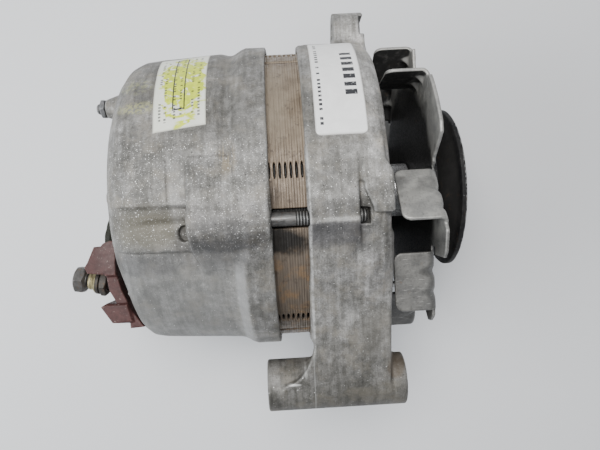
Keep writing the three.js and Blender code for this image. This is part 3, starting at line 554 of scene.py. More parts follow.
def rear_field(x, y, z):
    r = np.hypot(y, z)
    t, n = fold(y, z)
    d = rear_shell(x, y, z)
    # flat left behind each bolt boss, with a low wall where the raised part begins
    strip_t, strip_n = fold(y, z, -12.6)
    seat = overlap(REAR_UPPER(x, r) + 0.15, strip_n - 63.15)
    strip = overlap(np.abs(strip_t) - 8.1, x + 33.0)
    d = carve(d, overlap(-seat, strip), 1.7)
    d = union(d, overlap(seat, strip), 1.3)
    boss_end = -36.2 + 3.0 * fade(-9.0, -19.0, t)
    boss = extrude(REAR_BOSS(t, n), overlap(boss_end - x, x + 7.0), 1.1)
    boss = union(boss, extrude(rod(t, n, (0, 65.0), 6.6), slab(x, -36.5, -7.0), 1.8), 1.5)
    d = union(d, boss, 1.1)
    # cavity, keeping a wall under the sloped flat, and the bearing hub
    backing = overlap(sloped_flat(x, y, FLAT_DEPTH - 3.8), -66.0 - y, slab(z, -19.8, 40.8))
    d = carve(d, overlap(REAR_CAVITY(x, r), -backing), 0.7)
    d = union(d, REAR_HUB(x, r), 1.6)
    # ribs from the bearing hub toward the rim, along the back wall
    for angle in REAR_RIB_ANGLES:
        tt, nn = turn(y, z, angle)
        rib = extrude(overlap(np.abs(tt) - 1.5, slab(nn, 20, 50)), slab(x, -70, -63), 0.6)
        d = union(d, rib, 1.2)
    # counterbore behind each bolt head, opening to the rear
    d = carve(d, extrude(rod(t, n, (0, BOLT_RADIUS), 4.3), slab(x, -36.9, -31.6), 0.3), 0.5)
    # small hole in the flat behind the boss
    hole = overlap(np.hypot((t + 3.9) * 0.72, x + 38.6) - 2.2, x + 37.2)
    d = carve(d, extrude(hole, slab(n, 61.2, 70), 0.3), 0.6)
    # clearance hole of each bolt
    d = carve(d, extrude(rod(t, n, (0, BOLT_RADIUS), BOLT_HOLE), slab(x, -60, 4)), 0.4)
    for angle in REAR_WINDOW_ANGLES:
        opening = window(y, z, angle, 28.2, 43.8, 11.2)
        d = carve(d, extrude(opening, slab(x, -90, -66.3)) - 1.2, 0.9)
    # shallow ring groove round the windows
    d = carve(d, extrude(np.abs(r - 47.2) - 0.7, slab(x, -90, -72.35), 0.2), 0.5)
    # tapered boss and hole of the auxiliary stud
    boss_r = 6.9 - 0.33 * np.maximum(-72.0 - x, -2)
    d = union(d, extrude(rod(y, z, AUX, boss_r), slab(x, -80.8, -69), 0.5), 1.6)
    d = carve(d, rod(y, z, AUX, 2.75), 0.3)
    # brush-holder opening, screw holes, output-bolt hole, bearing bore
    opening = overlap(np.abs(y) - 8.0, slab(z, -43.3, -25.2))
    back_wall = slab(x, -90, -60)
    d = carve(d, extrude(opening, back_wall, 0.8), 0.6)
    for screw_y in BRUSH_SCREW_Y:
        d = carve(d, overlap(rod(y, z, (screw_y, -33.5), 1.9), back_wall), 0.3)
    along, off_axis = terminal_axis(x, y, z)
    d = carve(d, overlap(off_axis - 5.2, slab(along, 16, 44)), 0.5)
    return carve(d, overlap(r - 9.6, back_wall), 0.5)


# ------------------------------------------------------------------ front housing
# profiles turned about the shaft: station, radius
FRONT_SHELL = Outline([
    (7.5, -5), (7.5, 67.3), (8.2, 67.75), (10.2, 67.8), (10.6, 68.0), (30.5, 68.0),
    (34.4, 66.9), (36.8, 64.9), (37.4, 62.8), (37.4, -5)], grow=0.5)
FRONT_CAVITY = Outline([(0, -5), (0, 65.2), (15.4, 65.2), (15.4, 61.5), (29, 60.5), (34.2, 55),
                        (34.2, -5)])
FRONT_HUB = Outline([(26.5, 23.7), (26.5, 29), (44.5, 29), (44.5, 15), (42.6, 15),
                     (42.6, 23.7)])
BEARING_R, SHAFT_HOLE_R = 23.7, 15.0
# boss and drive-end lug in a bolt sector: tangential, radial
FRONT_BOSS = Outline([
    (-15.6, 62.6), (-12.6, 65.0), (-6.5, 67.6), (-2.6, 70.0), (-1.3, 70.6), (4.0, 70.0),
    (13.0, 67.9), (22.0, 64.7), (25.0, 62.4), (24, 58), (-14, 58)], grow=0.35)
FRONT_LUG = Outline([
    (1.5, 56), (1.6, 69.2), (4.0, 69.5), (12.0, 68.7), (20.0, 66.3), (27.0, 62.9),
    (28.5, 56)], grow=0.3)
# foot toward the pivot: unit vectors from the shaft to the pivot and across
PIVOT_REACH = float(np.hypot(*PIVOT))
TO_PIVOT = np.array(PIVOT) / PIVOT_REACH
ACROSS = np.array([-TO_PIVOT[1], TO_PIVOT[0]])


def tangent_point(radius, reach, side):
    """Point (y, z) where the foot's edge leaves a circle centred at this reach."""
    k = (63.0 - PIVOT_R) / PIVOT_REACH
    q = math.sqrt(1 - k * k)
    return reach * TO_PIVOT + radius * (k * TO_PIVOT + side * q * ACROSS)


WEB_ROOT = [tangent_point(62.2, 0, side) for side in (1, -1)]
WEB_TIP = [tangent_point(PIVOT_R - 0.8, PIVOT_REACH, side) for side in (1, -1)]
FOOT_WEB = Outline([WEB_ROOT[0], WEB_TIP[0], WEB_TIP[1], WEB_ROOT[1]], grow=0.8)
WEB_TOP = [max(ends, key=lambda q: q[1]) for ends in (WEB_ROOT, WEB_TIP)]
# the foot seen from above: station, -y; it narrows with depth about a point above
FOOT_PLAN = Outline([
    (7.8, 20), (7.8, 64.5), (7.2, 67), (5.9, 70), (4.1, 73.4), (1.8, 76.7), (-0.5, 78.6),
    (-2.8, 79.6), (-4.8, 80.3), (-6.5, 82.5), (-7.5, 88), (-8, 96), (37.2, 96), (37.2, 20)],
    grow=0.8)
TAPER_Y, TAPER_Z = 14.42, 259.6     # that point: -y and z
# hollow in the front face of the foot: across, along
FOOT_POCKET = Outline([(-21.5, 66.8), (-11.5, 74), (11.5, 74), (21.5, 66.8)], grow=1.0)


def foot_field(x, y, z):
    top_z = np.interp(-y, [-p[0] for p in WEB_TOP], [p[1] for p in WEB_TOP])
    taper = np.minimum((TAPER_Z - top_z) / np.maximum(TAPER_Z - z, 100.0), 1.0)
    plan = FOOT_PLAN(x * taper, TAPER_Y + (-y - TAPER_Y) * taper)
    web = common(FOOT_WEB(y, z), plan, 1.1)
    tube = extrude(rod(y, z, PIVOT, PIVOT_R), slab(x, -12.6, 45.0), 0.7)
    along = y * TO_PIVOT[0] + z * TO_PIVOT[1]
    across = y * ACROSS[0] + z * ACROSS[1]
    pocket = extrude(FOOT_POCKET(across, along), slab(x, 17.5, 60), 1.0)
    return carve(union(web, tube, 1.4), pocket, 1.2)


def ear_field(x, y, z):
    thick = slab(x, 24.5, 38.5)
    ear = extrude(rod(y, z, EAR, EAR_R), thick, 0.7)
    width = np.abs(z - EAR[1]) - (EAR_R - 0.2) - np.maximum(70 - y, 0) * 0.25
    arm = extrude(overlap(width, slab(y, 58, EAR[0])), thick, 0.7)
    notch = extrude(overlap(slab(y, 71.0, 79.5), slab(z, 4.0, 30.0)), slab(x, 36.3, 60), 0.6)
    return carve(union(ear, arm, 1.0), notch, 0.8)


def front_field(x, y, z):
    r = np.hypot(y, z)
    t, n = fold(y, z)
    d = FRONT_SHELL(x, r)
    # gentle sag of the casting skin
    d = d + 0.08 * np.sin(y * 0.19 + 1.1) * np.sin(x * 0.21 + z * 0.15)
    # dip beside each lug
    d = d + 2.0 * fade(38.0, 27.0, x) * fade(20.0, 25.0, x) * fade(-1.0, -5.0, t) * fade(-21, -10, t)
    d = union(d, extrude(FRONT_BOSS(t, n), slab(x, 7.3, 25.6), 0.7), 1.8)
    # corner lug at the drive end of each bolt line
    lug_start = 29.5 - 2.6 * fade(1.5, 12.0, t)
    lug = overlap(lug_start - x, x - 38.0 + 2.6 * fade(15.0, 21.0, t))
    d = union(d, extrude(FRONT_LUG(t, n), lug, 0.7), 1.2)
    d = union(d, extrude(rod(t, n, (-0.2, 65.6), 2.9), slab(x, 29.2, 33.0), 0.8), 1.0)
    d = union(d, foot_field(x, y, z), 3.0)
    d = union(d, ear_field(x, y, z), 3.0)
    d = carve(d, FRONT_CAVITY(x, r), 0.7)
    d = union(d, FRONT_HUB(x, r), 1.5)
    d = carve(d, overlap(r - BEARING_R, slab(x, 33, 42.6)), 0.4)
    d = carve(d, overlap(r - SHAFT_HOLE_R, slab(x, 20, 60)), 0.4)
    # windows in the front wall with a spoke before each
    for angle in range(0, 360, 60):
        opening = window(y, z, angle + 30, 33.4, 51.6, 19.2)
        d = carve(d, extrude(opening, slab(x, 30, 60)) - 1.3, 0.9)
        tt, nn = turn(y, z, angle)
        spoke = extrude(overlap(np.abs(tt) - 1.7, slab(nn, 27, 56)), slab(x, 29, 35.5), 0.7)
        d = union(d, spoke, 1.4)
    # relief that bares the bolt thread between boss and lug
    relief_end = 27.2 + 3.2 * fade(11.5, 1.5, t)
    relief_floor = 66.2 + 1.3 * fade(3.0, 8.0, t) - 0.5 * fade(-3.0, -9.0, t) + 0.35 * (x - 26)
    relief = overlap(25.6 - x, x - relief_end, relief_floor - n, np.abs(t - 3.8) - 8.6)
    d = carve(d, relief, 1.1)
    d = carve(d, overlap(rod(t, n, (0, BOLT_RADIUS), BOLT_HOLE), slab(x, -10, 29.4)), 0.35)
    d = carve(d, rod(y, z, PIVOT, PIVOT_BORE), 0.8)
    return carve(d, rod(y, z, EAR, EAR_BORE), 0.7)


# name, field, low and high corner, node
for name, field, low, high, node in (
        ("rear_casting", rear_field, (-81.5, -71, -71), (-6.4, 72.5, 73.5), "rear_housing"),
        ("front_casting", front_field, (-13.0, -94, -71), (45.3, 84, 72.5), "front_housing")):
    casting = mesh_object(name, *field_mesh(field, low, high, CAST_CELL))
    piece(casting, "housing", "cast_alloy", node)

# ------------------------------------------------------------------ fan
FAN_X, FAN_T = 57.3, 1.4            # rear face of the disc, sheet thickness
FAN_R = 66.0
FREE_X = 41.5                       # free edge of the blades
FOLD_R = 3.5                        # bend at the blade's foot
FOLD_SPAN = 18.6                    # degrees between a blade's inner and outer end
FREE_CORNER = 3.4                   # rounding of the free corners
# blade angle and width in degrees of the rim lobe beside it
FAN_BLADES = [(70, 2.5), (43.3, 28), (-12.5, 15), (-52.3, 12), (-92, 11), (-128, 20),
              (-174, 8), (154, 18), (110, 14)]


def blade_frame(angle):
    """Inner end of the fold line, directions along it and inward, and its length."""
    inner = np.array(polar(50.0, angle + FOLD_SPAN))
    outer = np.array(polar(65.9, angle))
    length = np.linalg.norm(outer - inner)
    along = (outer - inner) / length
    inward = np.array([-along[1], along[0]])
    if np.dot(inward, inner) > 0:
        inward = -inward
    return inner, along, inward, float(length)


BLADE_FRAMES = [blade_frame(angle) for angle, _ in FAN_BLADES]


def fan_outline():
    out = []
    for i, (angle, lobe) in enumerate(FAN_BLADES):
        inner, along, inward, length = BLADE_FRAMES[i]
        out.append(tuple(inner + along * 1.5 + inward * FOLD_R))
        out.append(tuple(inner + along * length + inward * FOLD_R))
        end = angle - lobe
        if lobe > 6:
            for q in np.linspace(4.5, lobe - 3.0, max(2, int(lobe / 2.5))):
                out.append(polar(FAN_R, angle - q))
            out.append(polar(64.6, end))
        else:
            out.append(polar(65.2, end - 2.2))
        following = FAN_BLADES[(i + 1) % len(FAN_BLADES)][0] + FOLD_SPAN
        if 9 < (end - following) % 360 <= 180:
            out.append(polar(50.6, end - 5))
    return out


FAN_DISC = Outline(fan_outline(), step=0.3, pad=8)


def fan_field(x, y, z):
    r = np.hypot(y, z)
    half = FAN_T / 2
    face = FAN_X + FAN_T
    disc = extrude(overlap(FAN_DISC(y, z), r - FAN_R), slab(x, FAN_X, face), 0.35)
    blades = None
    for inner, along, inward, length in BLADE_FRAMES:
        s = (y - inner[0]) * along[0] + (z - inner[1]) * along[1]
        v = (y - inner[0]) * inward[0] + (z - inner[1]) * inward[1]
        # the bend widens at two dents
        R = FOLD_R + 4.2 * bell(s, 0.36 * length, 2.0) + 3.6 * bell(s, 0.72 * length, 1.8)
        near = (s > -2) & (s < length + 0.4) & (v > -4) & (v < 16)
        hull = overlap(x - face, -v)
        cx, cv = face - R, R
        corner = np.hypot(np.maximum(x - cx, 0), np.maximum(cv - v, 0)) - R
        hull = np.where((x > cx) & (v < cv), corner, hull)
        disc = np.where(near, np.maximum(disc, hull), disc)
        # distance to the middle of the bent sheet
        leg = np.where(x < cx, np.abs(v - half), 1e3)
        leg = np.minimum(leg, np.where(x < FREE_X, np.hypot(x - FREE_X, v - half), 1e3))
        bend = np.abs(np.hypot(x - cx, cv - v) - (R - half))
        bend = np.where((x >= cx) & (v <= cv), bend, 1e3)
        mid_x = FAN_X + half
        flat = np.where((v >= cv) & (v <= cv + 4), np.abs(x - mid_x), 1e3)
        flat = np.minimum(flat, np.where(v > cv + 4, np.hypot(x - mid_x, v - cv - 4), 1e3))
        sheet = np.minimum(np.minimum(leg, bend), flat) - half
        # blade outline in its own plane: corners rounded at the free edge
        edge = overlap(slab(s, 0.4, length), FREE_X - x)
        qx = FREE_X + FREE_CORNER - x
        for qs in (s - (length - FREE_CORNER), 0.4 + FREE_CORNER - s):
            edge = np.where((qx > 0) & (qs > 0), np.hypot(qx, qs) - FREE_CORNER, edge)
        blade = overlap(extrude(sheet, edge, 0.3), r - FAN_R)
        blades = blade if blades is None else np.minimum(blades, blade)
    # centre hole
    return carve(union(disc, blades, 0.5), r - 8.7, 0.2)


fan_mesh = field_mesh(fan_field, (41.2, -66.3, -66.3), (58.9, 66.3, 66.3), 0.5)
piece(mesh_object("fan_pressing", *fan_mesh), "rotor", "fan_steel", "fan")

# ------------------------------------------------------------------ pulley, nut, washer, shaft
# profiles: station, radius
SHEAVE_BACK = [
    (64.3, 8.75), (64.3, 21.6), (62.4, 26.5), (61.15, 32.6), (61.2, 35.75), (63.35, 35.75),
    (63.6, 32.6), (65.3, 27.4), (66.75, 22.6), (66.6, 8.75)]
SHEAVE_FRONT = [
    (66.9, 8.75), (67.5, 22.6), (69.9, 27.5), (72.4, 32.6), (73.2, 35.75), (75.35, 35.75),
    (75.35, 34.0), (74.9, 32.3), (71.8, 26.0), (69.9, 22.0), (69.25, 19.0), (69.25, 8.75)]
SPACER = [(58.8, 8.75), (58.8, 13.4), (62.55, 13.4), (62.55, 8.75)]
LOCK_WASHER = [(68.85, 8.05), (68.85, 13.1), (70.5, 13.1), (70.5, 8.05)]
SHAFT = [
    (-66.4, 0.01), (-66.4, 6.6), (-65.6, 7.3), (-54.4, 7.3), (-54.4, 7.95), (-18, 7.95),
    (-18, 8.35), (21, 8.35), (27.2, 8.35), (68.5, 8.35), (68.6, 7.6),
    *thread(69.0, 80.4, 7.6, 1.25, 0.45),
    (80.6, 7.3), (81.5, 6.5), (81.5, 2.2), (80.2, 0.01)]


def sheave(profile):
    """The flanges spread and grow a little toward the rim."""
    return [(x + 0.9 * fade(24, 35, r) - 1.4, r * (1 + 0.028 * fade(24, 35, r)))
            for x, r in profile]


def dent(r, angle):
    """Shift along the shaft and in radius of a knocked rim."""
    k = fade(33.0, 35.6, r)
    dr = -0.10 * k * (0.5 + 0.5 * np.sin(angle * 7 + 1))
    dr = dr - 0.12 * k * bell(np.mod(angle, 2 * math.pi), 2.2, 0.08)
    return 0.09 * k * np.sin(angle * 3 + 0.6), dr


for name, node, profile, fillet in (
        ("pulley_back_half", "pulley_rear_sheave", SHEAVE_BACK, 0.55),
        ("pulley_front_half", "pulley_front_sheave", SHEAVE_FRONT, 0.5)):
    flange = lathe(rounded(sheave(profile), fillet), segs=144, wobble=dent)
    piece(join(name, [flange]), "rotor", "pulley_black", node)
piece(join("pulley_spacer_hub", [lathe(rounded(SPACER, 0.4), segs=64)]),
      "rotor", "fastener_steel", "pulley_hub")
piece(join("pulley_hex_nut", [hexagon(70.9, 78.2, 13.6, chamfer=1.0, cell=0.45, bore=8.05)], 0.7),
      "rotor", "fastener_steel", "pulley_nut")
piece(join("pulley_lock_washer", [lathe(rounded(LOCK_WASHER, 0.3), segs=64)], 0.9),
      "rotor", "fastener_steel", "lock_washer")
piece(join("shaft_turned", [spindle(SHAFT, 0.25, segs=64, steps=3)], 0.8),
      "rotor", "shaft_steel", "rotor_shaft")

# ------------------------------------------------------------------ stator stack
STACK_X = (-14.5, 15)
STACK_R, SLOT_R, SLOT_DEPTH = 64.9, 46.7, 11.4
DIMPLE_ROWS = [5.1, -53.3, 65.1, 125.1, 185.1, 246.7]   # angles of the rows of short cuts
WELD_GROOVES = (54.6, 174.6, 294.6)


def stack_angles():
    """Degrees round the stack, denser at the rows, grooves, slots and bolt notches."""
    extra = []
    for c in DIMPLE_ROWS:
        extra += list(np.arange(c - 3.4, c + 3.4, 0.2))
    for c in WELD_GROOVES:
        extra += list(np.arange(c - 1.8, c + 1.8, 0.25))
    for i in range(36):
        extra += [i * 10 + side * e for side in (-1, 1) for e in (2.1, 2.3, 2.55, 2.7)]
    for c in BOLT_ANGLES:
        extra += [c - 3.6, c - 3.4, c - 3.1, c - 2.9, c + 2.9, c + 3.1, c + 3.4, c + 3.6]
    return np.unique(np.round(np.mod(np.r_[np.arange(0, 360, 0.8), extra], 360), 2))


def stator_stack():
    stations = np.linspace(*STACK_X, 176)
    angle, x = np.meshgrid(np.radians(stack_angles()), stations, indexing="ij")
    deg = np.degrees(angle)

    def away(c):
        return np.abs(np.mod(deg - c + 180, 360) - 180)

    # outer radius: sheet edges, every second millimetre deeper, and a slow waviness
    worn = 0.25 + 0.75 * fade(5, -22, deg)
    outer = STACK_R - 0.07 * worn * np.abs(np.sin(math.pi * x / 0.98))
    outer = outer - 0.16 * worn * (np.sin(x * 2 * math.pi / 2.0) > 0.82)
    outer = outer + 0.07 * np.sin(angle * 23 + x * 0.8) * np.sin(x * 1.7 + angle * 5)
    for c in DIMPLE_ROWS:
        half = 0.46 * np.sqrt(np.maximum(1 - (away(c) / 2.7) ** 2, 0))
        for k in range(7):
            centre = -6.55 + 2.03 * k
            cut = fade(half + 0.10, half - 0.06, np.abs(x - centre))
            outer = outer - 2.4 * (half > 0.05) * cut
    for c in WELD_GROOVES:
        outer = outer - 0.8 * fade(1.2, 0.7, away(c)) + 0.35 * bell(away(c), 0, 0.35)
    for c in BOLT_ANGLES:
        outer = outer - 2.2 * fade(3.4, 2.9, away(c))
    # inner radius: 36 slots, one every ten degrees
    inner = SLOT_R + SLOT_DEPTH * fade(2.62, 2.5, np.abs(np.mod(deg + 5, 10) - 5))

    def place(x, r, a):
        return np.stack([x, r * np.sin(a), r * np.cos(a)], -1).reshape(-1, 3)

    ends = [0, -1]
    points = np.concatenate([place(x, outer, angle),
                             place(x[:, ends], inner[:, ends], angle[:, ends])])
    rows, columns = angle.shape
    i0 = np.arange(rows)
    i1 = (i0 + 1) % rows
    a, b = i0 * columns, i1 * columns
    base = rows * columns
    c, d = base + i0 * 2, base + i1 * 2
    faces = [np.stack([a + j, b + j, b + j + 1, a + j + 1], 1) for j in range(columns - 1)]
    last = columns - 1
    faces.append(np.stack([c, c + 1, d + 1, d], 1))
    faces.append(np.stack([a, c, d, b], 1))
    faces.append(np.stack([a + last, b + last, d + 1, c + 1], 1))
    stack = mesh_object("stator_stack", points, np.concatenate(faces), smooth=False)
    face_outward(stack)
    return stack


piece(stator_stack(), "housing", "laminations", "stator_core")

# ------------------------------------------------------------------ stator winding
rng = np.random.default_rng(7)


def winding():
    """Arched wire ends on both sides, five deep, and three straight wires in each slot."""
    parts = []
    # side, station where the wires leave the stack, outermost station
    for side, start, limit in ((-1, -14.6, -32.6), (1, 15.1, 29.8)):
        for i in range(36):
            for k in range(5):
                r = 50.6 + 1.55 * k + rng.uniform(-0.15, 0.15)
                mid_r = r + (1.2 if i % 2 else -0.2)
                top = limit - side * (1.2 + 1.1 * (k % 2) + rng.uniform(0, 1.5))
                path = []
                for t in np.linspace(0, 1, 11):
                    angle = rad(i * 10.0 + 30.0 * t)
                    rise = math.sin(math.pi * t) ** 0.6 if 0 < t < 1 else 0
                    q = r + (mid_r - r) * math.sin(math.pi * t)
                    path.append((start + (top - start) * rise,
                                 q * math.sin(angle), q * math.cos(angle)))
                parts.append(sweep(path, 0.62, 5))
    for i in range(36):
        for k in range(3):
            y, z = polar(52.2 + 2.0 * k, i * 10)
            parts.append(sweep([(-16, y, z), (16.4, y, z)], 0.95, 6))
    return join("winding_bundles", parts)


piece(winding(), "housing", "copper", "stator_winding")

# ------------------------------------------------------------------ through-bolts
BOLT = [(-34.0, 0.01), (-34.0, 2.62), (17.5, 2.62), (18.0, 2.4),
        *thread(18.4, 27.2, 2.64, 0.8, 0.28), (27.8, 2.2), (28.4, 1.6), (28.4, 0.01)]
BOLT_WASHER = [(-32.3, 2.7), (-32.3, 4.25), (-31.65, 4.25), (-31.65, 2.7)]

for i, angle in enumerate(BOLT_ANGLES):
    centre = polar(BOLT_RADIUS, angle)
    head, head_faces = hexagon(-36.6, -32.1, 4.15, chamfer=0.5, cell=0.25, turned=0.3 + i)
    parts = [spindle(BOLT, 0.12, centre), (head + [0, *centre], head_faces),
             lathe(rounded(BOLT_WASHER, 0.15), centre, 40)]
    piece(join(f"bolt_{i + 1}", parts, 0.8), "housing", "fastener_steel",
          f"through_bolt_{i + 1}")

# ------------------------------------------------------------------ terminal block
BLOCK_SCALE, BLOCK_Y = 0.9785, -14.4    # the outline is scaled about this y and station 0
# outline seen from above: station, y
BLOCK_OUTLINE = [
    (-84.6, -19.0), (-81.7, -19.2), (-80.4, -17.6), (-77.6, -16.8), (-74.8, -17.0),
    (-75.8, -26.4), (-75.5, -33.2), (-74.1, -38.6), (-69.7, -48.4), (-65.2, -54.8),
    (-71.2, -55.1), (-71.3, -52.8), (-78.3, -52.2), (-83, -45.1), (-80.9, -43.8),
    (-76.4, -44.1), (-79.4, -38.5), (-80.6, -31.2), (-87.9, -30.4), (-89.1, -27.7),
    (-87.7, -25.6)]
BLOCK = Outline([(x * BLOCK_SCALE, BLOCK_Y + (y - BLOCK_Y) * BLOCK_SCALE)
                 for x, y in BLOCK_OUTLINE], step=0.15, pad=9)
# two areas whose top stands higher
BLOCK_RAISED = Outline([(-90, -14), (-90, -31.6), (-74, -31.6), (-72, -14)], step=0.3, pad=9)
BLOCK_ARM = Outline([(-84, -43.6), (-70.0, -43.6), (-68.0, -51.2), (-79, -52.4)],
                    step=0.3, pad=9)


def block_field(x, y, z):
    flat = BLOCK(x, y)
    top = 30.2 + 1.7 * fade(0.6, -0.6, BLOCK_RAISED(x, y))
    top = top + 1.6 * fade(0.6, -0.6, BLOCK_ARM(x, y))
    d = extrude(flat, overlap(z - top, 7.1 - z), 0.55)
    # rib between the stud side and the housing side
    rib = overlap(np.abs(x + 79.0 + 0.14 * (y + 20)) - 0.7, slab(y, -31, -18))
    rib = extrude(rib, slab(z, 25, 31.8), 0.4)
    d = union(d, overlap(rib, flat), 0.4)
    # bolt hole and the wider recess for its head, nut and washers
    along, off_axis = terminal_axis(x, y, z)
    d = carve(d, overlap(off_axis - 3.85, slab(along, 4, 60)), 0.3)
    return carve(d, overlap(off_axis - 7.0, slab(along, -6, 15.25)), 0.5)


block_mesh = field_mesh(block_field, (-88, -55, 6.8), (-62, -16, 32.2), 0.33)
piece(mesh_object("terminal_moulding", *block_mesh), "housing", "phenolic", "terminal_block")

# output bolt and its washers: distance along the bolt, radius
OUTPUT_BOLT = [(5.0, 0.01), (5.0, 3.9), (5.7, 3.9), (5.8, 2.9),
               *thread(6.0, 39.6, 2.98, 1.0, 0.35), (39.9, 2.2), (40.2, 0.01)]
BRASS_WASHER = [(6.6, 3.3), (6.6, 3.9), (7.5, 4.1), (8.1, 3.75), (8.7, 4.3), (9.8, 5.3),
                (10.0, 5.3), (10.0, 3.3)]
SPRING_WASHER = [(10.15, 3.35), (10.15, 5.5), (11.5, 5.5), (11.5, 3.35)]
# auxiliary stud: station, radius
AUX_STUD = [(-85.2, 0.01), (-85.2, 1.7), (-84.9, 2.1), *thread(-84.7, -72, 2.43, 0.8, 0.28),
            (-71.8, 2.4), (-69.4, 2.4), (-69.4, 0.01)]

output_bolt = [on_terminal(hexagon(0.3, 5.4, 6.05, chamfer=1.0, cell=0.28, turned=0.52)),
               on_terminal(spindle(OUTPUT_BOLT, 0.15))]
piece(join("output_bolt_threaded", output_bolt, 0.8),
      "housing", "fastener_steel", "output_terminal_bolt")
for name, node, slot, profile in (
        ("output_washer_brass", "output_flat_washer", "washer_brass", BRASS_WASHER),
        ("output_washer_spring", "output_spring_washer", "dark_steel", SPRING_WASHER)):
    washer = on_terminal(lathe(rounded(profile, 0.2), segs=48))
    piece(join(name, [washer], 0.8), "housing", slot, node)
nut = hexagon(11.8, 14.9, 6.1, chamfer=0.7, cell=0.28, bore=3.35, turned=0.2)
piece(join("output_hex_nut", [on_terminal(nut)], 0.8), "housing", "dark_steel", "output_nut")
piece(join("aux_stud_threaded", [spindle(AUX_STUD, 0.12, AUX)], 0.8),
      "housing", "fastener_steel", "aux_stud")
nut, nut_faces = hexagon(-83.1, -81.1, 4.6, chamfer=0.5, cell=0.25, bore=2.6, turned=0.35)
piece(join("aux_hex_nut", [(nut + [0, *AUX], nut_faces)], 0.8),
      "housing", "fastener_steel", "aux_stud_nut")

# ------------------------------------------------------------------ lead wire and brush springs
LEAD_PATH = [(-75.4, 20, 15), (-75.8, 12, 15.2), (-76.2, 4, 15.6), (-77.7, -4, 16.2),
             (-79.7, -11, 17.2), (-80.6, -16.4, 18.1), (-80.2, -19.6, 18.6)]
lead = sweep(spline(LEAD_PATH, 76), 1.9, 20,
             swell=lambda t: 1 + 0.03 * np.sin(t * 60) + 0.06 * bell(t, 0.62, 0.05))
piece(join("lead_sheathed", [lead]), "housing", "wire_sheath", "lead_wire")

SPRING_R, SPRING_WIRE_R, SPRING_TURNS = 1.6, 0.27, 5.5
for i, (station, slide) in enumerate(((-43.7, "inner_brush_slide"),
                                      (-50.3, "outer_brush_slide"))):
    t = np.linspace(0, 1, 220)
    z = -39.15 + 0.35 * fade(0, 0.12, t) + t * (39.15 - 28.2 - 0.9)
    angle = t * SPRING_TURNS * 2 * math.pi
    coil = np.stack([station + SPRING_R * np.cos(angle), SPRING_R * np.sin(angle), z], 1)
    spring = join(f"spring_coil_{i + 1}", [sweep(coil, SPRING_WIRE_R, 8)])
    piece(spring, "housing", "spring_steel", f"brush_spring_{i + 1}")
    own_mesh(spring)

# ------------------------------------------------------------------ labels laid on the castings
LABEL_LIFT, LABEL_SINK = 0.16, 0.25     # sheet faces above and below the casting's skin


def surface_radius(field, x, angle):
    """Radius at which a casting's surface lies, looking in along the radius."""
    r = np.full(x.shape, 74.0)
    for _ in range(24):
        y, z = r * np.sin(angle), r * np.cos(angle)
        d = field(x.astype(f32), y.astype(f32), z.astype(f32))
        r = np.maximum(r - d * 0.9, 55.0)
    return r


def round_corners(u, v, radius_u, radius_v):
    """Pulls the corner points of the unit square in to a rounded outline."""
    pu = (np.abs(u - 0.5) - (0.5 - radius_u)) / radius_u
    pv = (np.abs(v - 0.5) - (0.5 - radius_v)) / radius_v
    corner = (pu > 0) & (pv > 0)
    k = np.where(corner, np.maximum(pu, pv) / np.maximum(np.hypot(pu, pv), 1e-6), 1)
    new_u = 0.5 + np.sign(u - 0.5) * (np.where(corner, pu * k, pu) * radius_u + 0.5 - radius_u)
    new_v = 0.5 + np.sign(v - 0.5) * (np.where(corner, pv * k, pv) * radius_v + 0.5 - radius_v)
    return np.where(corner, new_u, u), np.where(corner, new_v, v)


def label(name, field, corners, grid, corner_r):
    """corners: station and angle, going along one edge and back along the other."""
    (xa, ta), (xb, tb), (xc, tc), (xd, td) = corners
    nu, nv = grid
    u, v = np.meshgrid(np.linspace(0, 1, nu), np.linspace(0, 1, nv), indexing="ij")
    if corner_r:
        # 1.15 mm of sheet to a degree
        u, v = round_corners(u, v, corner_r / abs(xb - xa), corner_r / (abs(ta - td) * 1.15))
    x = (xa * (1 - u) + xb * u) * (1 - v) + (xd * (1 - u) + xc * u) * v
    angle = np.radians((ta * (1 - u) + tb * u) * (1 - v) + (td * (1 - u) + tc * u) * v)
    r = surface_radius(field, x.ravel(), angle.ravel()).reshape(x.shape)
    # paper spans small hollows
    for _ in range(6):
        mean = 0.25 * (r[:-2, 1:-1] + r[2:, 1:-1] + r[1:-1, :-2] + r[1:-1, 2:])
        r[1:-1, 1:-1] = np.maximum(r[1:-1, 1:-1], mean)
    wrinkle = 0.05 * np.sin(u * 9 + v * 5) * np.sin(v * 13 + 1)
    points = [np.stack([x, R * np.sin(angle), R * np.cos(angle)], -1).reshape(-1, 3)
              for R in (r + LABEL_LIFT + np.abs(wrinkle), r - LABEL_SINK)]
    index = np.arange(nu * nv).reshape(nu, nv)
    top = np.stack([index[:-1, :-1], index[1:, :-1], index[1:, 1:], index[:-1, 1:]], -1)
    top = top.reshape(-1, 4)
    below = nu * nv
    rim = np.r_[index[:, 0], index[-1, 1:], index[-2::-1, -1], index[0, -2:0:-1]]
    after = np.roll(rim, -1)
    sides = np.stack([after, rim, rim + below, after + below], 1)
    sheet = mesh_object(name, np.concatenate(points),
                        np.concatenate([top, top[:, ::-1] + below, sides]))
    uv_map = sheet.data.uv_layers.new(name="sheet")
    uv = np.stack([np.tile(u.ravel(), 2), np.tile(1 - v.ravel(), 2)], 1)
    loops = np.zeros(len(sheet.data.loops), np.int32)
    sheet.data.loops.foreach_get("vertex_index", loops)
    uv_map.data.foreach_set("uv", uv[loops].astype(f32).ravel())
    return sheet


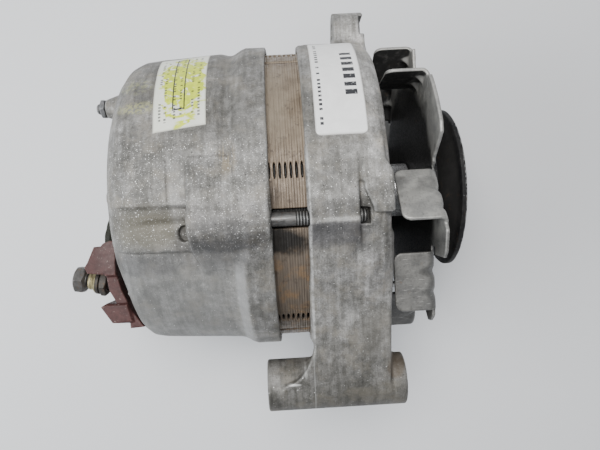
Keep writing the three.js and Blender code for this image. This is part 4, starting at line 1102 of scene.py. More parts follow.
REAR_LABEL = [(-50.3, 63.5), (-30.1, 66.5), (-28.6, 21.6), (-48.3, 19.8)]
FRONT_LABEL = [(11.6, 66.5), (30.4, 66.5), (30.2, 14.6), (11.2, 14.6)]
piece(label("label_sheet_rear", rear_field, REAR_LABEL, (60, 110), 0.0),
      "housing", "label", "rear_label")
piece(label("label_sheet_front", front_field, FRONT_LABEL, (60, 120), 2.2),
      "housing", "label", "front_label")

# ------------------------------------------------------------------ procedural finishes
MID = (0.3, 0.7)                    # span of a noise that leaves out its extremes


class Finish:
    """A material whose colour is built up coat by coat. Coordinates are stations in mm."""

    def __init__(self, name, metallic=0.0, rough=0.5, specular=0.5):
        self.material = bpy.data.materials.new(name)
        self.material.use_nodes = True
        self.tree = self.material.node_tree
        self.shader = self.tree.nodes["Principled BSDF"]
        self.set_shader("Metallic", metallic)
        self.set_shader("Roughness", rough)
        self.set_shader("Specular IOR Level", specular)
        self.coords = self.node("ShaderNodeTexCoord")
        place = self.node("ShaderNodeVectorMath", [(0, self.coords.outputs["Object"])],
                          operation="MULTIPLY_ADD")
        place.inputs[1].default_value = (1000, 1000, 1000)
        place.inputs[2].default_value = (-SHIFT, 0, 0)
        self.place = place.outputs[0]
        self.normal = None

    def put(self, socket, value):
        if isinstance(value, bpy.types.NodeSocket):
            self.tree.links.new(value, socket)
        else:
            socket.default_value = (*value, 1.0) if isinstance(value, tuple) else value

    def set_shader(self, name, value):
        self.put(self.shader.inputs[name], value)

    def node(self, kind, inputs=(), **settings):
        node = self.tree.nodes.new(kind)
        for key, value in settings.items():
            setattr(node, key, value)
        for key, value in inputs:
            self.put(node.inputs[key], value)
        return node

    @cached_property
    def xyz(self):
        return self.node("ShaderNodeSeparateXYZ", [(0, self.place)]).outputs

    x = property(lambda self: self.xyz[0])
    y = property(lambda self: self.xyz[1])
    z = property(lambda self: self.xyz[2])

    @cached_property
    def geometry(self):
        return self.node("ShaderNodeNewGeometry").outputs

    def edges(self, span):
        """Mask by pointiness: rising spans pick edges, falling ones hollows."""
        return self.ramp(self.geometry["Pointiness"], span)

    def math(self, operation, a, b=0.0, c=0.0, clamp=False):
        return self.node("ShaderNodeMath", enumerate((a, b, c)), operation=operation,
                         use_clamp=clamp).outputs[0]

    def mul(self, *factors):
        return reduce(lambda a, b: self.math("MULTIPLY", a, b), factors)

    def add(self, a, b):
        return self.math("ADD", a, b)

    def vector(self, *xyz):
        return self.node("ShaderNodeCombineXYZ", enumerate(xyz)).outputs[0]

    def radius(self):
        return self.math("SQRT", self.add(self.mul(self.y, self.y), self.mul(self.z, self.z)))

    def noise(self, scale, detail=3.0, rough=0.55, warp=0.0, at=None):
        inputs = [("Vector", at or self.place), ("Scale", scale), ("Detail", detail),
                  ("Roughness", rough), ("Distortion", warp)]
        return self.node("ShaderNodeTexNoise", inputs).outputs["Fac"]

    def streaks(self, stretch, detail, rough):
        """Noise with its own scale along each axis."""
        at = self.vector(*(self.mul(self.xyz[k], stretch[k]) for k in range(3)))
        return self.noise(1.0, detail, rough, at=at)

    def voronoi(self, scale, output):
        inputs = [("Vector", self.place), ("Scale", scale), ("Randomness", 1.0)]
        return self.node("ShaderNodeTexVoronoi", inputs, feature="F1").outputs[output]

    def specks(self, scale, channel):
        """Distance to the nearest cell point, and a random value per cell."""
        distance = self.voronoi(scale, "Distance")
        color = [(0, self.voronoi(scale, "Color"))]
        return distance, self.node("ShaderNodeSeparateColor", color).outputs[channel]

    def ramp(self, value, span, to=(0.0, 1.0), kind="SMOOTHSTEP"):
        return self.node("ShaderNodeMapRange", enumerate((value, *span, *to)), clamp=True,
                         interpolation_type=kind).outputs[0]

    def mix(self, factor, a, b, mode="MIX"):
        return self.node("ShaderNodeMix", [(0, factor), (6, a), (7, b)], data_type="RGBA",
                         blend_type=mode).outputs[2]

    def band(self, value, span, soft):
        """1 inside the span."""
        a, b = span
        return self.mul(self.ramp(value, (a - soft, a + soft)),
                        self.ramp(value, (b + soft, b - soft)))

    def spot(self, station, y, half_x, half_y, core=0.55):
        """Soft ragged patch on the upper side, full inside the core."""
        dx = self.mul(self.add(self.x, -station), 1.0 / half_x)
        dy = self.mul(self.add(self.y, -y), 1.0 / half_y)
        d = self.math("SQRT", self.add(self.mul(dx, dx), self.mul(dy, dy)))
        ragged = self.noise(scale=0.22, detail=4)
        d = self.add(d, self.mul(self.add(ragged, -0.5), 0.9))
        return self.mul(self.ramp(d, (1.0, core)), self.ramp(self.z, (-5.0, 5.0)))

    def base(self, value, span, low, high):
        """First colour: low to high along the span."""
        self.color = self.mix(self.ramp(value, span), low, high)

    def coat(self, mask, color, amount=None):
        """Lays a colour over the mask."""
        if amount is not None:
            mask = self.mul(mask, amount)
        self.color = self.mix(mask, self.color, color)

    def times(self, factor):
        return self.mix(1.0, self.color, factor, "MULTIPLY")

    def tint(self, mask, factor, amount=None):
        """Multiplies the colour by a factor over the mask."""
        self.coat(mask, self.times(factor), amount)

    def vary(self, value, span, low, high):
        """Multiplies the colour by low to high along the span."""
        self.color = self.mix(self.ramp(value, span), self.times(low), self.times(high))

    def spots(self, rows):
        """rows: station, y, half x, half y, core, amount, colour."""
        for *place, amount, color in rows:
            self.coat(self.spot(*place), color, amount)

    def bumps(self, *rows):
        """rows: height, strength, distance in mm."""
        for height, strength, distance in rows:
            bump = self.node("ShaderNodeBump", [("Strength", strength),
                                                ("Distance", distance / 1000.0),
                                                ("Height", height)])
            if self.normal is not None:
                self.put(bump.inputs["Normal"], self.normal)
            self.normal = bump.outputs[0]

    def done(self, rough, metallic=None):
        self.set_shader("Base Color", self.color)
        self.set_shader("Roughness", rough)
        if metallic is not None:
            self.set_shader("Metallic", metallic)
        self.set_shader("Normal", self.normal)
        return self.material


def rear_marks(m, streak):
    # tan stain beside the bolt boss
    stain = m.mul(m.spot(-21.5, 11.0, 4.6, 9.0, 0.2), m.ramp(streak, span=(0.40, 0.56)))
    m.coat(stain, (0.38, 0.30, 0.18), amount=0.45)
    # dark patches on the upper side; the thin ones at y -6.6 and -22.6 are painted shade under the
    # terrace ledges, the three near station -25 painted shade on the lower side of the boss
    m.spots([
        (-51, -13.0, 20.0, 10.5, 0.35, 0.80, (0.150, 0.138, 0.106)),
        (-53, -6.6, 11.0, 2.0, 0.3, 0.45, (0.085, 0.083, 0.075)),
        (-47, -22.6, 11.0, 2.0, 0.3, 0.40, (0.105, 0.105, 0.10)),
        (-24, -20.5, 15.0, 3.4, 0.3, 0.40, (0.085, 0.085, 0.092)),
        (-25, -13.5, 16.0, 5.2, 0.35, 0.25, (0.135, 0.136, 0.145)),
        (-25, -25.0, 15.0, 6.0, 0.4, 0.25, (0.140, 0.140, 0.148)),
        (-15.5, 25, 4.5, 17.0, 0.4, 0.35, (0.150, 0.145, 0.135))])
    # chalky yellow-green marks: place, noise scale, span, amount, colour
    for place, scale, span, amount, color in (
            ((-55, 33, 10.5, 3.4, 0.4), 0.8, (0.38, 0.55), 0.55, (0.50, 0.50, 0.25)),
            ((-57, 43, 9.0, 4.6, 0.5), 0.6, (0.42, 0.60), 0.40, (0.46, 0.47, 0.26))):
        m.coat(m.mul(m.spot(*place), m.ramp(m.noise(scale), span)), color, amount)
    # painted highlight in a bright band on the step to the rim, cooler tone toward -y
    side = m.mul(m.ramp(m.y, span=(-26, -32)), m.ramp(m.z, span=(-5, 5)))
    m.coat(m.mul(m.band(m.x, (-21.3, -17.6), soft=0.6), side), (0.46, 0.46, 0.465), amount=0.45)
    low = m.mul(m.ramp(m.y, span=(-14, -30)), m.ramp(m.x, span=(-12, -30)))
    m.coat(low, (0.262, 0.266, 0.262), amount=0.40)
    # wavy dark lanes along the shaft, painted shade below the boss ridge and the terrace edges:
    # stations, then y span, softness, factor, amount
    up = m.ramp(m.z, span=(0, 10))
    wavy_y = m.add(m.y, m.mul(m.add(m.noise(scale=0.15, detail=4), -0.5), 6.0))
    for stations, lanes in (
            ((-42.5, -7.5), (((-29.0, -4.5), 3.2, (0.74, 0.735, 0.74), 0.95),
                             ((-22.6, -16.6), 1.8, (0.64, 0.64, 0.65), 0.85))),
            ((-74.0, -43.0), (((-30.5, -21.5), 2.8, (0.60, 0.60, 0.61), 0.90),
                              ((-12.5, -6.8), 1.8, (0.70, 0.69, 0.67), 0.80)))):
        region = m.mul(m.band(m.x, stations, soft=2.0), up)
        for lane, soft, factor, amount in lanes:
            m.tint(m.mul(region, m.band(wavy_y, lane, soft)), factor, amount)
    # painted shade as a dark spot in the hole behind the boss, pale step edge
    m.spots([(-39.4, -15.4, 2.9, 3.4, 0.55, 0.72, (0.070, 0.067, 0.062)),
             (-41, -3.0, 3.0, 18.0, 0.2, 0.25, (0.42, 0.41, 0.40))])


def front_marks(m):
    # brownish patches at the foot
    m.spots([(34, -60, 13, 12, 0.55, 0.22, (0.235, 0.22, 0.195)),
             (40.5, -74, 5.5, 6, 0.55, 0.6, (0.165, 0.125, 0.085))])
    # shade beside the bolt boss
    shade = m.mul(m.ramp(m.z, span=(10, 20)), m.ramp(m.x, span=(31, 27)))
    shade = m.mul(m.ramp(m.y, span=(-27, -19)), shade)
    m.coat(m.mul(m.ramp(m.y, span=(-12.8, -14.6)), shade), (0.125, 0.126, 0.142), amount=0.30)
    # painted shade in dark lanes on both sides of the boss ridge
    up = m.ramp(m.z, span=(2, 12))
    region = m.mul(m.band(m.x, (7.6, 26.4), soft=0.5), up)
    m.tint(m.mul(region, m.band(m.y, (-12.4, -6.0), soft=1.8)), (0.56, 0.56, 0.56), amount=1.0)
    m.tint(m.mul(region, m.band(m.y, (-22.5, -14.0), soft=1.4)), (0.60, 0.595, 0.61), amount=0.90)
    # painted highlights: lighter toward -y below the boss and along the rounded front rim, most on
    # its upper side
    m.tint(m.mul(m.band(m.x, (7.6, 38), soft=0.8), m.band(m.y, (-42, -26), soft=3.0)),
           (1.26, 1.26, 1.28), amount=0.75)
    rim_highlight_upper = m.mul(m.band(m.y, (1.0, 70), soft=3.0), up)
    m.tint(m.mul(m.band(m.x, (28.5, 38.5), soft=2.0), rim_highlight_upper), (1.62, 1.62, 1.64), amount=0.90)
    m.tint(m.mul(m.band(m.x, (28.5, 38.5), soft=2.0), m.ramp(m.y, span=(14, 28))),
           (1.30, 1.30, 1.31), amount=1.0)
    m.tint(m.mul(m.band(m.x, (27.0, 36.0), soft=1.5), m.band(m.y, (-46, -24), soft=2.5)),
           (1.14, 1.14, 1.16), amount=0.7)
    # painted shade on the underside of the pivot tube
    m.tint(m.ramp(m.y, span=(-76, -84), to=(0.0, 0.8)), (0.78, 0.78, 0.77))
    # painted highlight along the ridge of the boss, broken up by noise
    ridge_highlight = m.mul(m.ramp(m.x, span=(4, 20)), m.ramp(m.x, span=(26.5, 25.5)))
    ridge_highlight = m.mul(m.band(m.y, (-13.9, -12.3), soft=0.5), ridge_highlight)
    broken = m.ramp(m.noise(scale=0.55, detail=4, rough=0.7), span=(0.36, 0.54))
    m.coat(m.mul(ridge_highlight, m.mul(m.ramp(m.z, span=(10, 20)), broken)), (0.52, 0.52, 0.51), amount=0.42)
    # darker foot, with a pale line and two pale marks
    m.tint(m.ramp(m.y, span=(-61, -73)), (0.60, 0.59, 0.57), amount=0.72)
    m.coat(m.mul(m.band(m.x, (6.55, 7.05), soft=0.10), m.ramp(m.y, span=(-65, -69))),
           (0.40, 0.40, 0.39), amount=0.40)
    m.spots([(-1.4, -79.2, 3.2, 0.8, 0.2, 0.75, (0.72, 0.72, 0.70)),
             (3.4, -75.0, 0.9, 2.6, 0.2, 0.40, (0.58, 0.58, 0.56))])
    # pale edge next to the stator
    rim = m.mul(m.band(m.x, (6.9, 7.9), soft=0.25),
                m.mul(m.ramp(m.y, span=(18, 8)), m.ramp(m.y, span=(-72, -60))))
    worn = m.noise(scale=0.5, detail=4, rough=0.7)
    m.coat(rim, (0.52, 0.52, 0.515), amount=m.ramp(worn, span=(0.38, 0.58), to=(0.1, 0.6)))
    # painted shade: the front wall behind the fan made near black
    shade_and_soot = m.mul(m.ramp(m.x, span=(37.0, 37.8)), m.ramp(m.radius(), span=(61.5, 56.0)))
    m.coat(shade_and_soot, (0.016, 0.016, 0.017), amount=0.93)


def cast(name, tone, front):
    m = Finish(name, metallic=0.35)
    big = m.noise(scale=0.045, detail=5, rough=0.6)
    mid = m.noise(scale=0.33, detail=5, rough=0.62)
    fine = m.noise(scale=1.5, detail=4, rough=0.7)
    grit = m.noise(scale=3.6, detail=2, rough=0.6)
    streak = m.streaks(stretch=(0.55, 0.055, 0.055), detail=4, rough=0.6)
    m.base(big, (0.32, 0.68), low=tuple(k * tone for k in (0.200, 0.198, 0.192)),
           high=tuple(k * tone for k in (0.292, 0.287, 0.277)))
    # mottling: noise, span, factors at its low and high end
    for noise, span, low, high in (
            (streak, (0.34, 0.66), (0.76, 0.755, 0.74), (1.15, 1.15, 1.16)),
            (mid, (0.30, 0.72), (0.70, 0.70, 0.69), (1.18, 1.18, 1.175)),
            (fine, (0.36, 0.62), (0.82, 0.815, 0.80), (1.13, 1.13, 1.13)),
            (grit, (0.36, 0.64), (0.82, 0.815, 0.81), (1.14, 1.14, 1.145))):
        m.vary(noise, span, low, high)
    # settled dirt in the hollows, brighter metal where edges rub
    m.coat(m.edges(span=(0.495, 0.455)), (0.105, 0.10, 0.092), amount=0.75)
    wear = m.mul(m.edges(span=(0.512, 0.56)), m.ramp(m.noise(scale=0.5), span=(0.30, 0.6)))
    m.coat(wear, (0.50, 0.50, 0.49), amount=0.45 if front else 0.70)
    # pinholes
    distance, cell = m.specks(scale=0.62, channel=0)
    hole = m.mul(m.ramp(distance, span=(0.17, 0.10)), m.ramp(cell, span=(0.86, 0.90)))
    m.coat(hole, (0.05, 0.048, 0.045), amount=0.8)
    # bright flecks and tiny ones are painted glints, dark ones are specks; all are denser inside the
    # zone, on the lit upper part
    if front:
        zone = m.mul(m.band(m.y, (-16, 8), soft=9), 0.45)
    else:
        zone = m.mul(m.band(m.y, (-21, 18), soft=7), m.ramp(m.z, span=(0, 12)))
    distance, cell = m.specks(scale=1.35, channel=1)
    limit = m.ramp(zone, span=(0.0, 1.0), to=(0.990, 0.86))
    fleck = m.mul(m.ramp(m.add(distance, m.mul(fine, 0.35)), span=(0.50, 0.30)),
                  m.math("GREATER_THAN", cell, limit))
    tiny_distance, tiny_cell = m.specks(scale=2.3, channel=0)
    limit = m.ramp(zone, span=(0.0, 1.0), to=(0.985, 0.76))
    tiny = m.mul(m.ramp(tiny_distance, span=(0.40, 0.24)),
                 m.math("GREATER_THAN", tiny_cell, limit))
    m.coat(tiny, (0.74, 0.74, 0.72), amount=0.55)
    m.coat(fleck, (0.92, 0.92, 0.90), amount=0.95)
    limit = m.ramp(zone, span=(0, 1), to=(0.07, 0.16))
    dark = m.mul(m.ramp(distance, span=(0.34, 0.18)), m.math("LESS_THAN", cell, limit))
    m.coat(dark, (0.09, 0.088, 0.085), amount=0.6)
    # blotches and tan dust
    m.vary(m.noise(scale=0.085, detail=4, rough=0.62, warp=0.6), (0.36, 0.66),
           low=(0.73, 0.725, 0.71), high=(1.12, 1.12, 1.13))
    m.coat(m.ramp(m.noise(scale=0.11, detail=5, rough=0.65), span=(0.47, 0.66)),
           (0.300, 0.272, 0.225), amount=0.40)
    if front:
        front_marks(m)
    else:
        rear_marks(m, streak)
    # painted glints again, over the marks
    m.coat(fleck, (0.86, 0.86, 0.84), amount=0.85)
    m.coat(tiny, (0.62, 0.62, 0.60), amount=0.45)
    m.bumps((big, 0.25, 1.2), (mid, 0.55, 0.42), (fine, 0.6, 0.24), (grit, 0.35, 0.10),
            (m.math("SUBTRACT", m.mul(fleck, 0.5), hole), 0.6, 0.25))
    rough = m.math("SUBTRACT", m.ramp(fine, MID, to=(0.46, 0.66)), m.mul(fleck, 0.18),
                   clamp=True)
    return m.done(rough, m.ramp(m.add(wear, fleck), span=(0, 1), to=(0.30, 0.65)))


def steel(name, color, rust, rough, metallic, grain=0.0, dark=0.35):
    m = Finish(name, metallic, rough)
    cloud = m.noise(scale=0.35, detail=4, rough=0.6)
    fine = m.noise(scale=2.2, detail=4, rough=0.65)
    m.base(cloud, MID, low=tuple(k * (1 - dark) for k in color),
           high=tuple(min(1, k * 1.12) for k in color))
    m.tint(m.ramp(fine, span=(0.5, 0.24)), (0.55, 0.52, 0.50))
    if rust:
        m.coat(m.ramp(m.noise(scale=0.55, detail=6, rough=0.7), span=(0.50, 0.66)),
               (0.135, 0.080, 0.045), amount=rust)
        m.coat(m.edges(span=(0.49, 0.45)), (0.05, 0.042, 0.035), amount=0.6)
    m.coat(m.edges(span=(0.515, 0.58)), tuple(min(1, k * 1.7) for k in color), amount=0.6)
    if grain:
        lines = m.streaks(stretch=(6.0, 0.4, 0.4), detail=3, rough=0.5)
        m.tint(m.ramp(lines, span=(0.35, 0.7)), (0.72, 0.72, 0.73), amount=grain)
        m.bumps((lines, 0.25, 0.05))
    m.bumps((cloud, 0.35, 0.25), (fine, 0.5, 0.12))
    return m.done(m.ramp(fine, MID, to=(rough - 0.08, rough + 0.18)))


def laminations():
    """Laminated steel under old varnish."""
    m = Finish("laminated_steel", metallic=0.25)
    sheets = m.math("SINE", m.mul(m.x, 2 * math.pi / 0.98))
    streak = m.streaks(stretch=(1.9, 0.10, 0.10), detail=4, rough=0.6)
    bright_side = m.ramp(m.y, span=(-8, 22))
    m.base(streak, (0.32, 0.68), low=(0.125, 0.094, 0.068), high=(0.250, 0.190, 0.135))
    blotch = m.ramp(m.noise(scale=0.10, detail=5, rough=0.62), span=(0.36, 0.64))
    m.coat(bright_side, m.mix(blotch, (0.190, 0.150, 0.108), (0.325, 0.270, 0.205)),
           amount=0.62)
    m.coat(m.ramp(sheets, span=(0.1, 0.9)), (0.115, 0.085, 0.060),
           amount=m.ramp(bright_side, span=(0, 1), to=(0.50, 0.16)))
    # darker toward -y, and rusty there
    m.coat(m.ramp(m.y, span=(8, -30)), (0.100, 0.086, 0.072), amount=0.62)
    rust = m.ramp(m.noise(scale=0.16, detail=5, rough=0.7), span=(0.47, 0.66))
    m.coat(m.mul(rust, m.ramp(m.y, span=(-12, -30))), (0.26, 0.150, 0.062), amount=0.50)
    m.coat(m.ramp(m.noise(scale=0.30, detail=5, rough=0.7), span=(0.55, 0.68)),
           (0.075, 0.055, 0.042), amount=0.75)
    # pale, black and brown patches on the upper side; the black one is the painted shadow under the
    # through-bolt
    m.spots([(-5, 33, 9, 20, 0.55, 0.25, (0.42, 0.36, 0.28)),
             (-3.5, -20.0, 13.5, 6.5, 0.5, 0.96, (0.010, 0.009, 0.008)),
             (-5.5, -4, 3.2, 8, 0.3, 0.7, (0.070, 0.052, 0.038))])
    # dark hollows, and painted shade deep in the cuts and notches below the sheet edges
    m.coat(m.edges(span=(0.50, 0.44)), (0.022, 0.018, 0.015), amount=0.9)
    m.coat(m.ramp(m.radius(), span=(64.35, 63.5)), (0.008, 0.007, 0.006))
    m.bumps((sheets, 0.45, 0.12), (streak, 0.4, 0.15), (m.noise(scale=2.4), 0.4, 0.08))
    return m.done(m.ramp(m.noise(scale=0.5, detail=4, rough=0.65), MID, to=(0.34, 0.62)))


def copper():
    m = Finish("enamelled_wire", metallic=0.55, rough=0.35)
    cloud = m.noise(scale=0.5, detail=4)
    m.base(cloud, MID, low=(0.34, 0.115, 0.04), high=(0.62, 0.27, 0.11))
    m.coat(m.ramp(m.noise(scale=0.18, detail=4), span=(0.5, 0.68)), (0.12, 0.085, 0.06),
           amount=0.7)
    m.bumps((m.noise(scale=3.0, detail=2), 0.3, 0.05))
    return m.done(m.ramp(cloud, MID, to=(0.26, 0.5)))


def bolt_steel():
    """Through-bolt steel; where the bolts lie bare, thread lines painted as shade in the roots and
    highlight on the crests.
    """
    m = Finish("through_bolt_steel", metallic=0.6, rough=0.45)
    cloud = m.noise(scale=0.35, detail=4, rough=0.6)
    grain = m.streaks(stretch=(0.4, 3.0, 3.0), detail=3, rough=0.5)
    m.base(cloud, MID, low=(0.075, 0.073, 0.072), high=(0.135, 0.132, 0.128))
    m.coat(m.ramp(grain, span=(0.50, 0.68)), (0.23, 0.23, 0.23), amount=0.45)
    m.coat(m.ramp(m.noise(scale=0.6, detail=5, rough=0.7), span=(0.54, 0.68)),
           (0.11, 0.065, 0.04), amount=0.4)
    wave = m.math("SINE", m.mul(m.x, 2 * math.pi / 1.1))
    threaded = m.math("MAXIMUM", m.band(m.x, (2.4, 7.6), soft=0.2),
                      m.band(m.x, (24.5, 33.0), soft=0.2))
    # painted shade in the thread roots, then painted highlight on the crests
    m.coat(threaded, (0.026, 0.026, 0.026), amount=m.ramp(wave, span=(0.1, 0.8)))
    m.coat(threaded, (0.22, 0.22, 0.215), amount=m.ramp(wave, span=(-0.2, -0.9)))
    m.bumps((m.mul(wave, threaded), 0.7, 0.25), (grain, 0.3, 0.06))
    return m.done(m.ramp(cloud, MID, to=(0.36, 0.58)))


def fan_sheet():
    """Pressed sheet: dull grey outside, near-black inside with painted shade and grime."""
    m = Finish("fan_sheet", metallic=0.40, rough=0.46)
    cloud = m.noise(scale=0.14, detail=5, rough=0.65)
    fine = m.noise(scale=1.3, detail=5, rough=0.68)
    r = m.radius()
    m.base(cloud, (0.34, 0.66), low=(0.215, 0.213, 0.205), high=(0.335, 0.330, 0.310))
    m.tint(m.ramp(fine, span=(0.48, 0.28)), (0.66, 0.65, 0.63))
    # darker toward -y on the upper side
    m.vary(m.mul(m.y, m.ramp(m.z, span=(-10, 10))), (-14, -24),
           low=(1.22, 1.22, 1.22), high=(0.58, 0.58, 0.585))
    scratch = m.streaks(stretch=(0.25, 2.2, 0.8), detail=3, rough=0.6)
    m.coat(m.ramp(scratch, span=(0.60, 0.72)), (0.50, 0.49, 0.47), amount=0.5)
    m.coat(m.edges(span=(0.53, 0.60)), (0.52, 0.51, 0.49), amount=0.55)
    # near-black toward the middle, partly soot and partly painted shade, soot in clouds, and painted
    # shade on faces that look inward
    clouds = m.mul(m.ramp(m.noise(scale=0.10, detail=5), span=(0.50, 0.62)), 0.35)
    shade_and_soot = m.add(m.ramp(r, span=(52.0, 45.0)), m.mul(clouds, m.ramp(r, span=(60, 55))))
    normal = m.node("ShaderNodeSeparateXYZ", [(0, m.geometry["Normal"])]).outputs
    outward = m.math("DIVIDE", m.add(m.mul(normal[1], m.y), m.mul(normal[2], m.z)),
                     m.add(r, 0.01))
    patchy = m.ramp(m.noise(scale=0.35, detail=4), span=(0.25, 0.5), to=(0.72, 1.0))
    shade_and_soot = m.math("MAXIMUM", shade_and_soot, m.mul(m.ramp(outward, span=(-0.10, -0.42)), patchy))
    m.coat(m.math("MINIMUM", shade_and_soot, 1.0), (0.016, 0.016, 0.017), amount=0.93)
    m.coat(m.ramp(m.noise(scale=0.24, detail=6, rough=0.7), span=(0.60, 0.72)),
           (0.17, 0.12, 0.08), amount=0.5)
    m.bumps((cloud, 0.3, 0.5), (fine, 0.55, 0.16), (scratch, 0.2, 0.06))
    return m.done(m.ramp(fine, MID, to=(0.36, 0.60)))


def pulley_enamel():
    """Black paint with a rubbed rim."""
    m = Finish("pulley_enamel", specular=0.25)
    cloud = m.noise(scale=0.2, detail=5, rough=0.6)
    fine = m.noise(scale=1.6, detail=4, rough=0.65)
    r = m.radius()
    m.base(cloud, (0.35, 0.65), low=(0.010, 0.010, 0.011), high=(0.026, 0.025, 0.025))
    m.coat(m.ramp(fine, span=(0.60, 0.74)), (0.055, 0.050, 0.046), amount=0.5)
    # chips on the front rim, then fine ones on both
    rim = m.math("MINIMUM", m.band(m.x, (74.3, 75.3), soft=0.15), 1.0)
    chip = m.mul(m.ramp(r, span=(35.9, 36.5)), rim,
                 m.ramp(m.noise(scale=0.55, detail=4, rough=0.7), span=(0.44, 0.60)))
    small = m.ramp(m.noise(scale=1.3, detail=4, rough=0.7), span=(0.62, 0.68))
    small = m.mul(m.ramp(r, span=(36.3, 36.7)), small, 0.45)
    chip = m.math("MAXIMUM", chip, small)
    m.coat(chip, (0.36, 0.36, 0.36))
    # belt groove, rust
    m.coat(m.mul(m.band(m.x, (63.6, 73.0), soft=0.4), m.ramp(r, span=(35.0, 33.8))),
           (0.032, 0.031, 0.030), amount=0.6)
    m.coat(m.ramp(m.noise(scale=0.3, detail=5, rough=0.7), span=(0.58, 0.70)),
           (0.085, 0.055, 0.034), amount=0.55)
    m.bumps((cloud, 0.3, 0.3), (fine, 0.5, 0.12))
    return m.done(m.ramp(fine, MID, to=(0.52, 0.72)), m.ramp(chip, span=(0, 1), to=(0.15, 0.9)))


def phenolic():
    """Red-brown moulding with dust."""
    m = Finish("moulded_phenolic", rough=0.55, specular=0.3)
    cloud = m.noise(scale=0.4, detail=5, rough=0.65)
    fine = m.noise(scale=2.4, rough=0.6)
    m.base(cloud, (0.32, 0.68), low=(0.046, 0.019, 0.018), high=(0.078, 0.033, 0.031))
    inboard = m.mul(m.ramp(m.x, span=(-84, -77)), m.ramp(m.y, span=(-33, -24)))
    dust = m.noise(scale=0.55, detail=5, rough=0.65)
    m.coat(inboard, (0.115, 0.078, 0.074),
           amount=m.ramp(dust, span=(0.30, 0.62), to=(0.20, 0.60)))
    m.coat(m.ramp(m.noise(scale=0.7, detail=4, rough=0.7), span=(0.60, 0.72)),
           (0.36, 0.30, 0.27), amount=0.55)
    m.coat(m.edges(span=(0.52, 0.58)), (0.24, 0.135, 0.12), amount=0.6)
    m.coat(m.edges(span=(0.49, 0.44)), (0.045, 0.020, 0.017), amount=0.7)
    m.bumps((cloud, 0.3, 0.3), (fine, 0.45, 0.12))
    return m.done(m.ramp(fine, MID, to=(0.42, 0.66)))


def wire_sheath():
    m = Finish("wire_braid", rough=0.6, specular=0.25)
    cloud = m.noise(scale=0.6, detail=4)
    weave = m.math("SINE", m.add(m.mul(m.y, 5.2), m.mul(m.x, 3.0)))
    m.base(cloud, MID, low=(0.008, 0.0085, 0.007), high=(0.020, 0.021, 0.015))
    # olive painted highlight on the lit side of the lead
    m.spots([(-82, -9, 4, 4, 0.55, 0.5, (0.026, 0.028, 0.018))])
    m.coat(m.ramp(weave, span=(0.2, 1.0)), (0.032, 0.031, 0.025), amount=0.25)
    m.bumps((weave, 0.4, 0.12), (cloud, 0.3, 0.2))
    return m.done(m.ramp(cloud, MID, to=(0.45, 0.7)))


def carbon():
    m = Finish("carbon_block", metallic=0.1, rough=0.55)
    cloud = m.noise(scale=1.2, detail=5)
    m.base(cloud, MID, low=(0.018, 0.017, 0.017), high=(0.060, 0.057, 0.055))
    rubbed = m.streaks(stretch=(2.0, 2.0, 0.15), detail=3, rough=0.5)
    m.coat(m.ramp(rubbed, span=(0.5, 0.7)), (0.11, 0.105, 0.10), amount=0.5)
    m.bumps((cloud, 0.4, 0.12))
    return m.done(m.ramp(cloud, MID, to=(0.4, 0.65)))


def insulation():
    m = Finish("moulded_insulation")
    fine = m.noise(scale=2.6)
    m.base(m.noise(scale=0.5, detail=5), MID, low=(0.022, 0.019, 0.016),
           high=(0.062, 0.052, 0.042))
    m.coat(m.ramp(m.noise(scale=0.25, detail=4), span=(0.52, 0.66)), (0.16, 0.13, 0.095),
           amount=0.5)
    m.bumps((fine, 0.4, 0.1))
    return m.done(m.ramp(fine, MID, to=(0.4, 0.62)))


def bobbin():
    m = Finish("moulded_bobbin")
    cloud = m.noise(scale=0.4, detail=5)
    m.base(cloud, MID, low=(0.46, 0.42, 0.33), high=(0.62, 0.58, 0.48))
    m.coat(m.ramp(m.noise(scale=0.9, detail=4), span=(0.55, 0.7)), (0.22, 0.17, 0.12),
           amount=0.5)
    m.bumps((cloud, 0.3, 0.2))
    return m.done(m.ramp(cloud, MID, to=(0.4, 0.62)))


def bars(m, u, v, columns, rows, pitch, fill, seed, gap=0.5):
    """Ink where short bars of uneven length stand in a column: generic marks, no letters."""
    number = m.math("FLOOR", m.mul(v, 1.0 / pitch))
    within = m.math("FRACT", m.mul(v, 1.0 / pitch))
    chance = m.node("ShaderNodeTexWhiteNoise", [("Vector", m.vector(number, seed, 1.3))],
                    noise_dimensions="3D").outputs["Value"]
    length = m.ramp(chance, span=(0, 1), to=(fill * 0.7, fill), kind="LINEAR")
    on = m.mul(m.math("GREATER_THAN", chance, gap * 0.35), m.math("LESS_THAN", within, length))

    def inside(value, span):
        return m.mul(m.math("GREATER_THAN", value, span[0]), m.math("LESS_THAN", value, span[1]))

    return m.mul(on, m.mul(inside(v, rows), inside(u, columns)))


def rear_ink(m, u, v):
    """Thin frame and columns of fine dashes."""
    outer = m.mul(m.band(u, (0.36, 0.60), soft=0.001), m.band(v, (0.17, 0.93), soft=0.001))
    inner = m.mul(m.band(u, (0.385, 0.575), soft=0.001), m.band(v, (0.185, 0.915), soft=0.001))
    inks = [m.math("SUBTRACT", outer, inner, clamp=True)]
    for start, seed in ((0.10, 1.0), (0.20, 4.0), (0.38, 7.0), (0.50, 11.0), (0.72, 5.0),
                        (0.84, 8.0)):
        dashes = bars(m, u, v, (start, start + 0.045), (0.07, 0.93), pitch=0.030, fill=0.62,
                      seed=seed, gap=1.2)
        inks.append(m.mul(dashes, 0.8))
    return inks


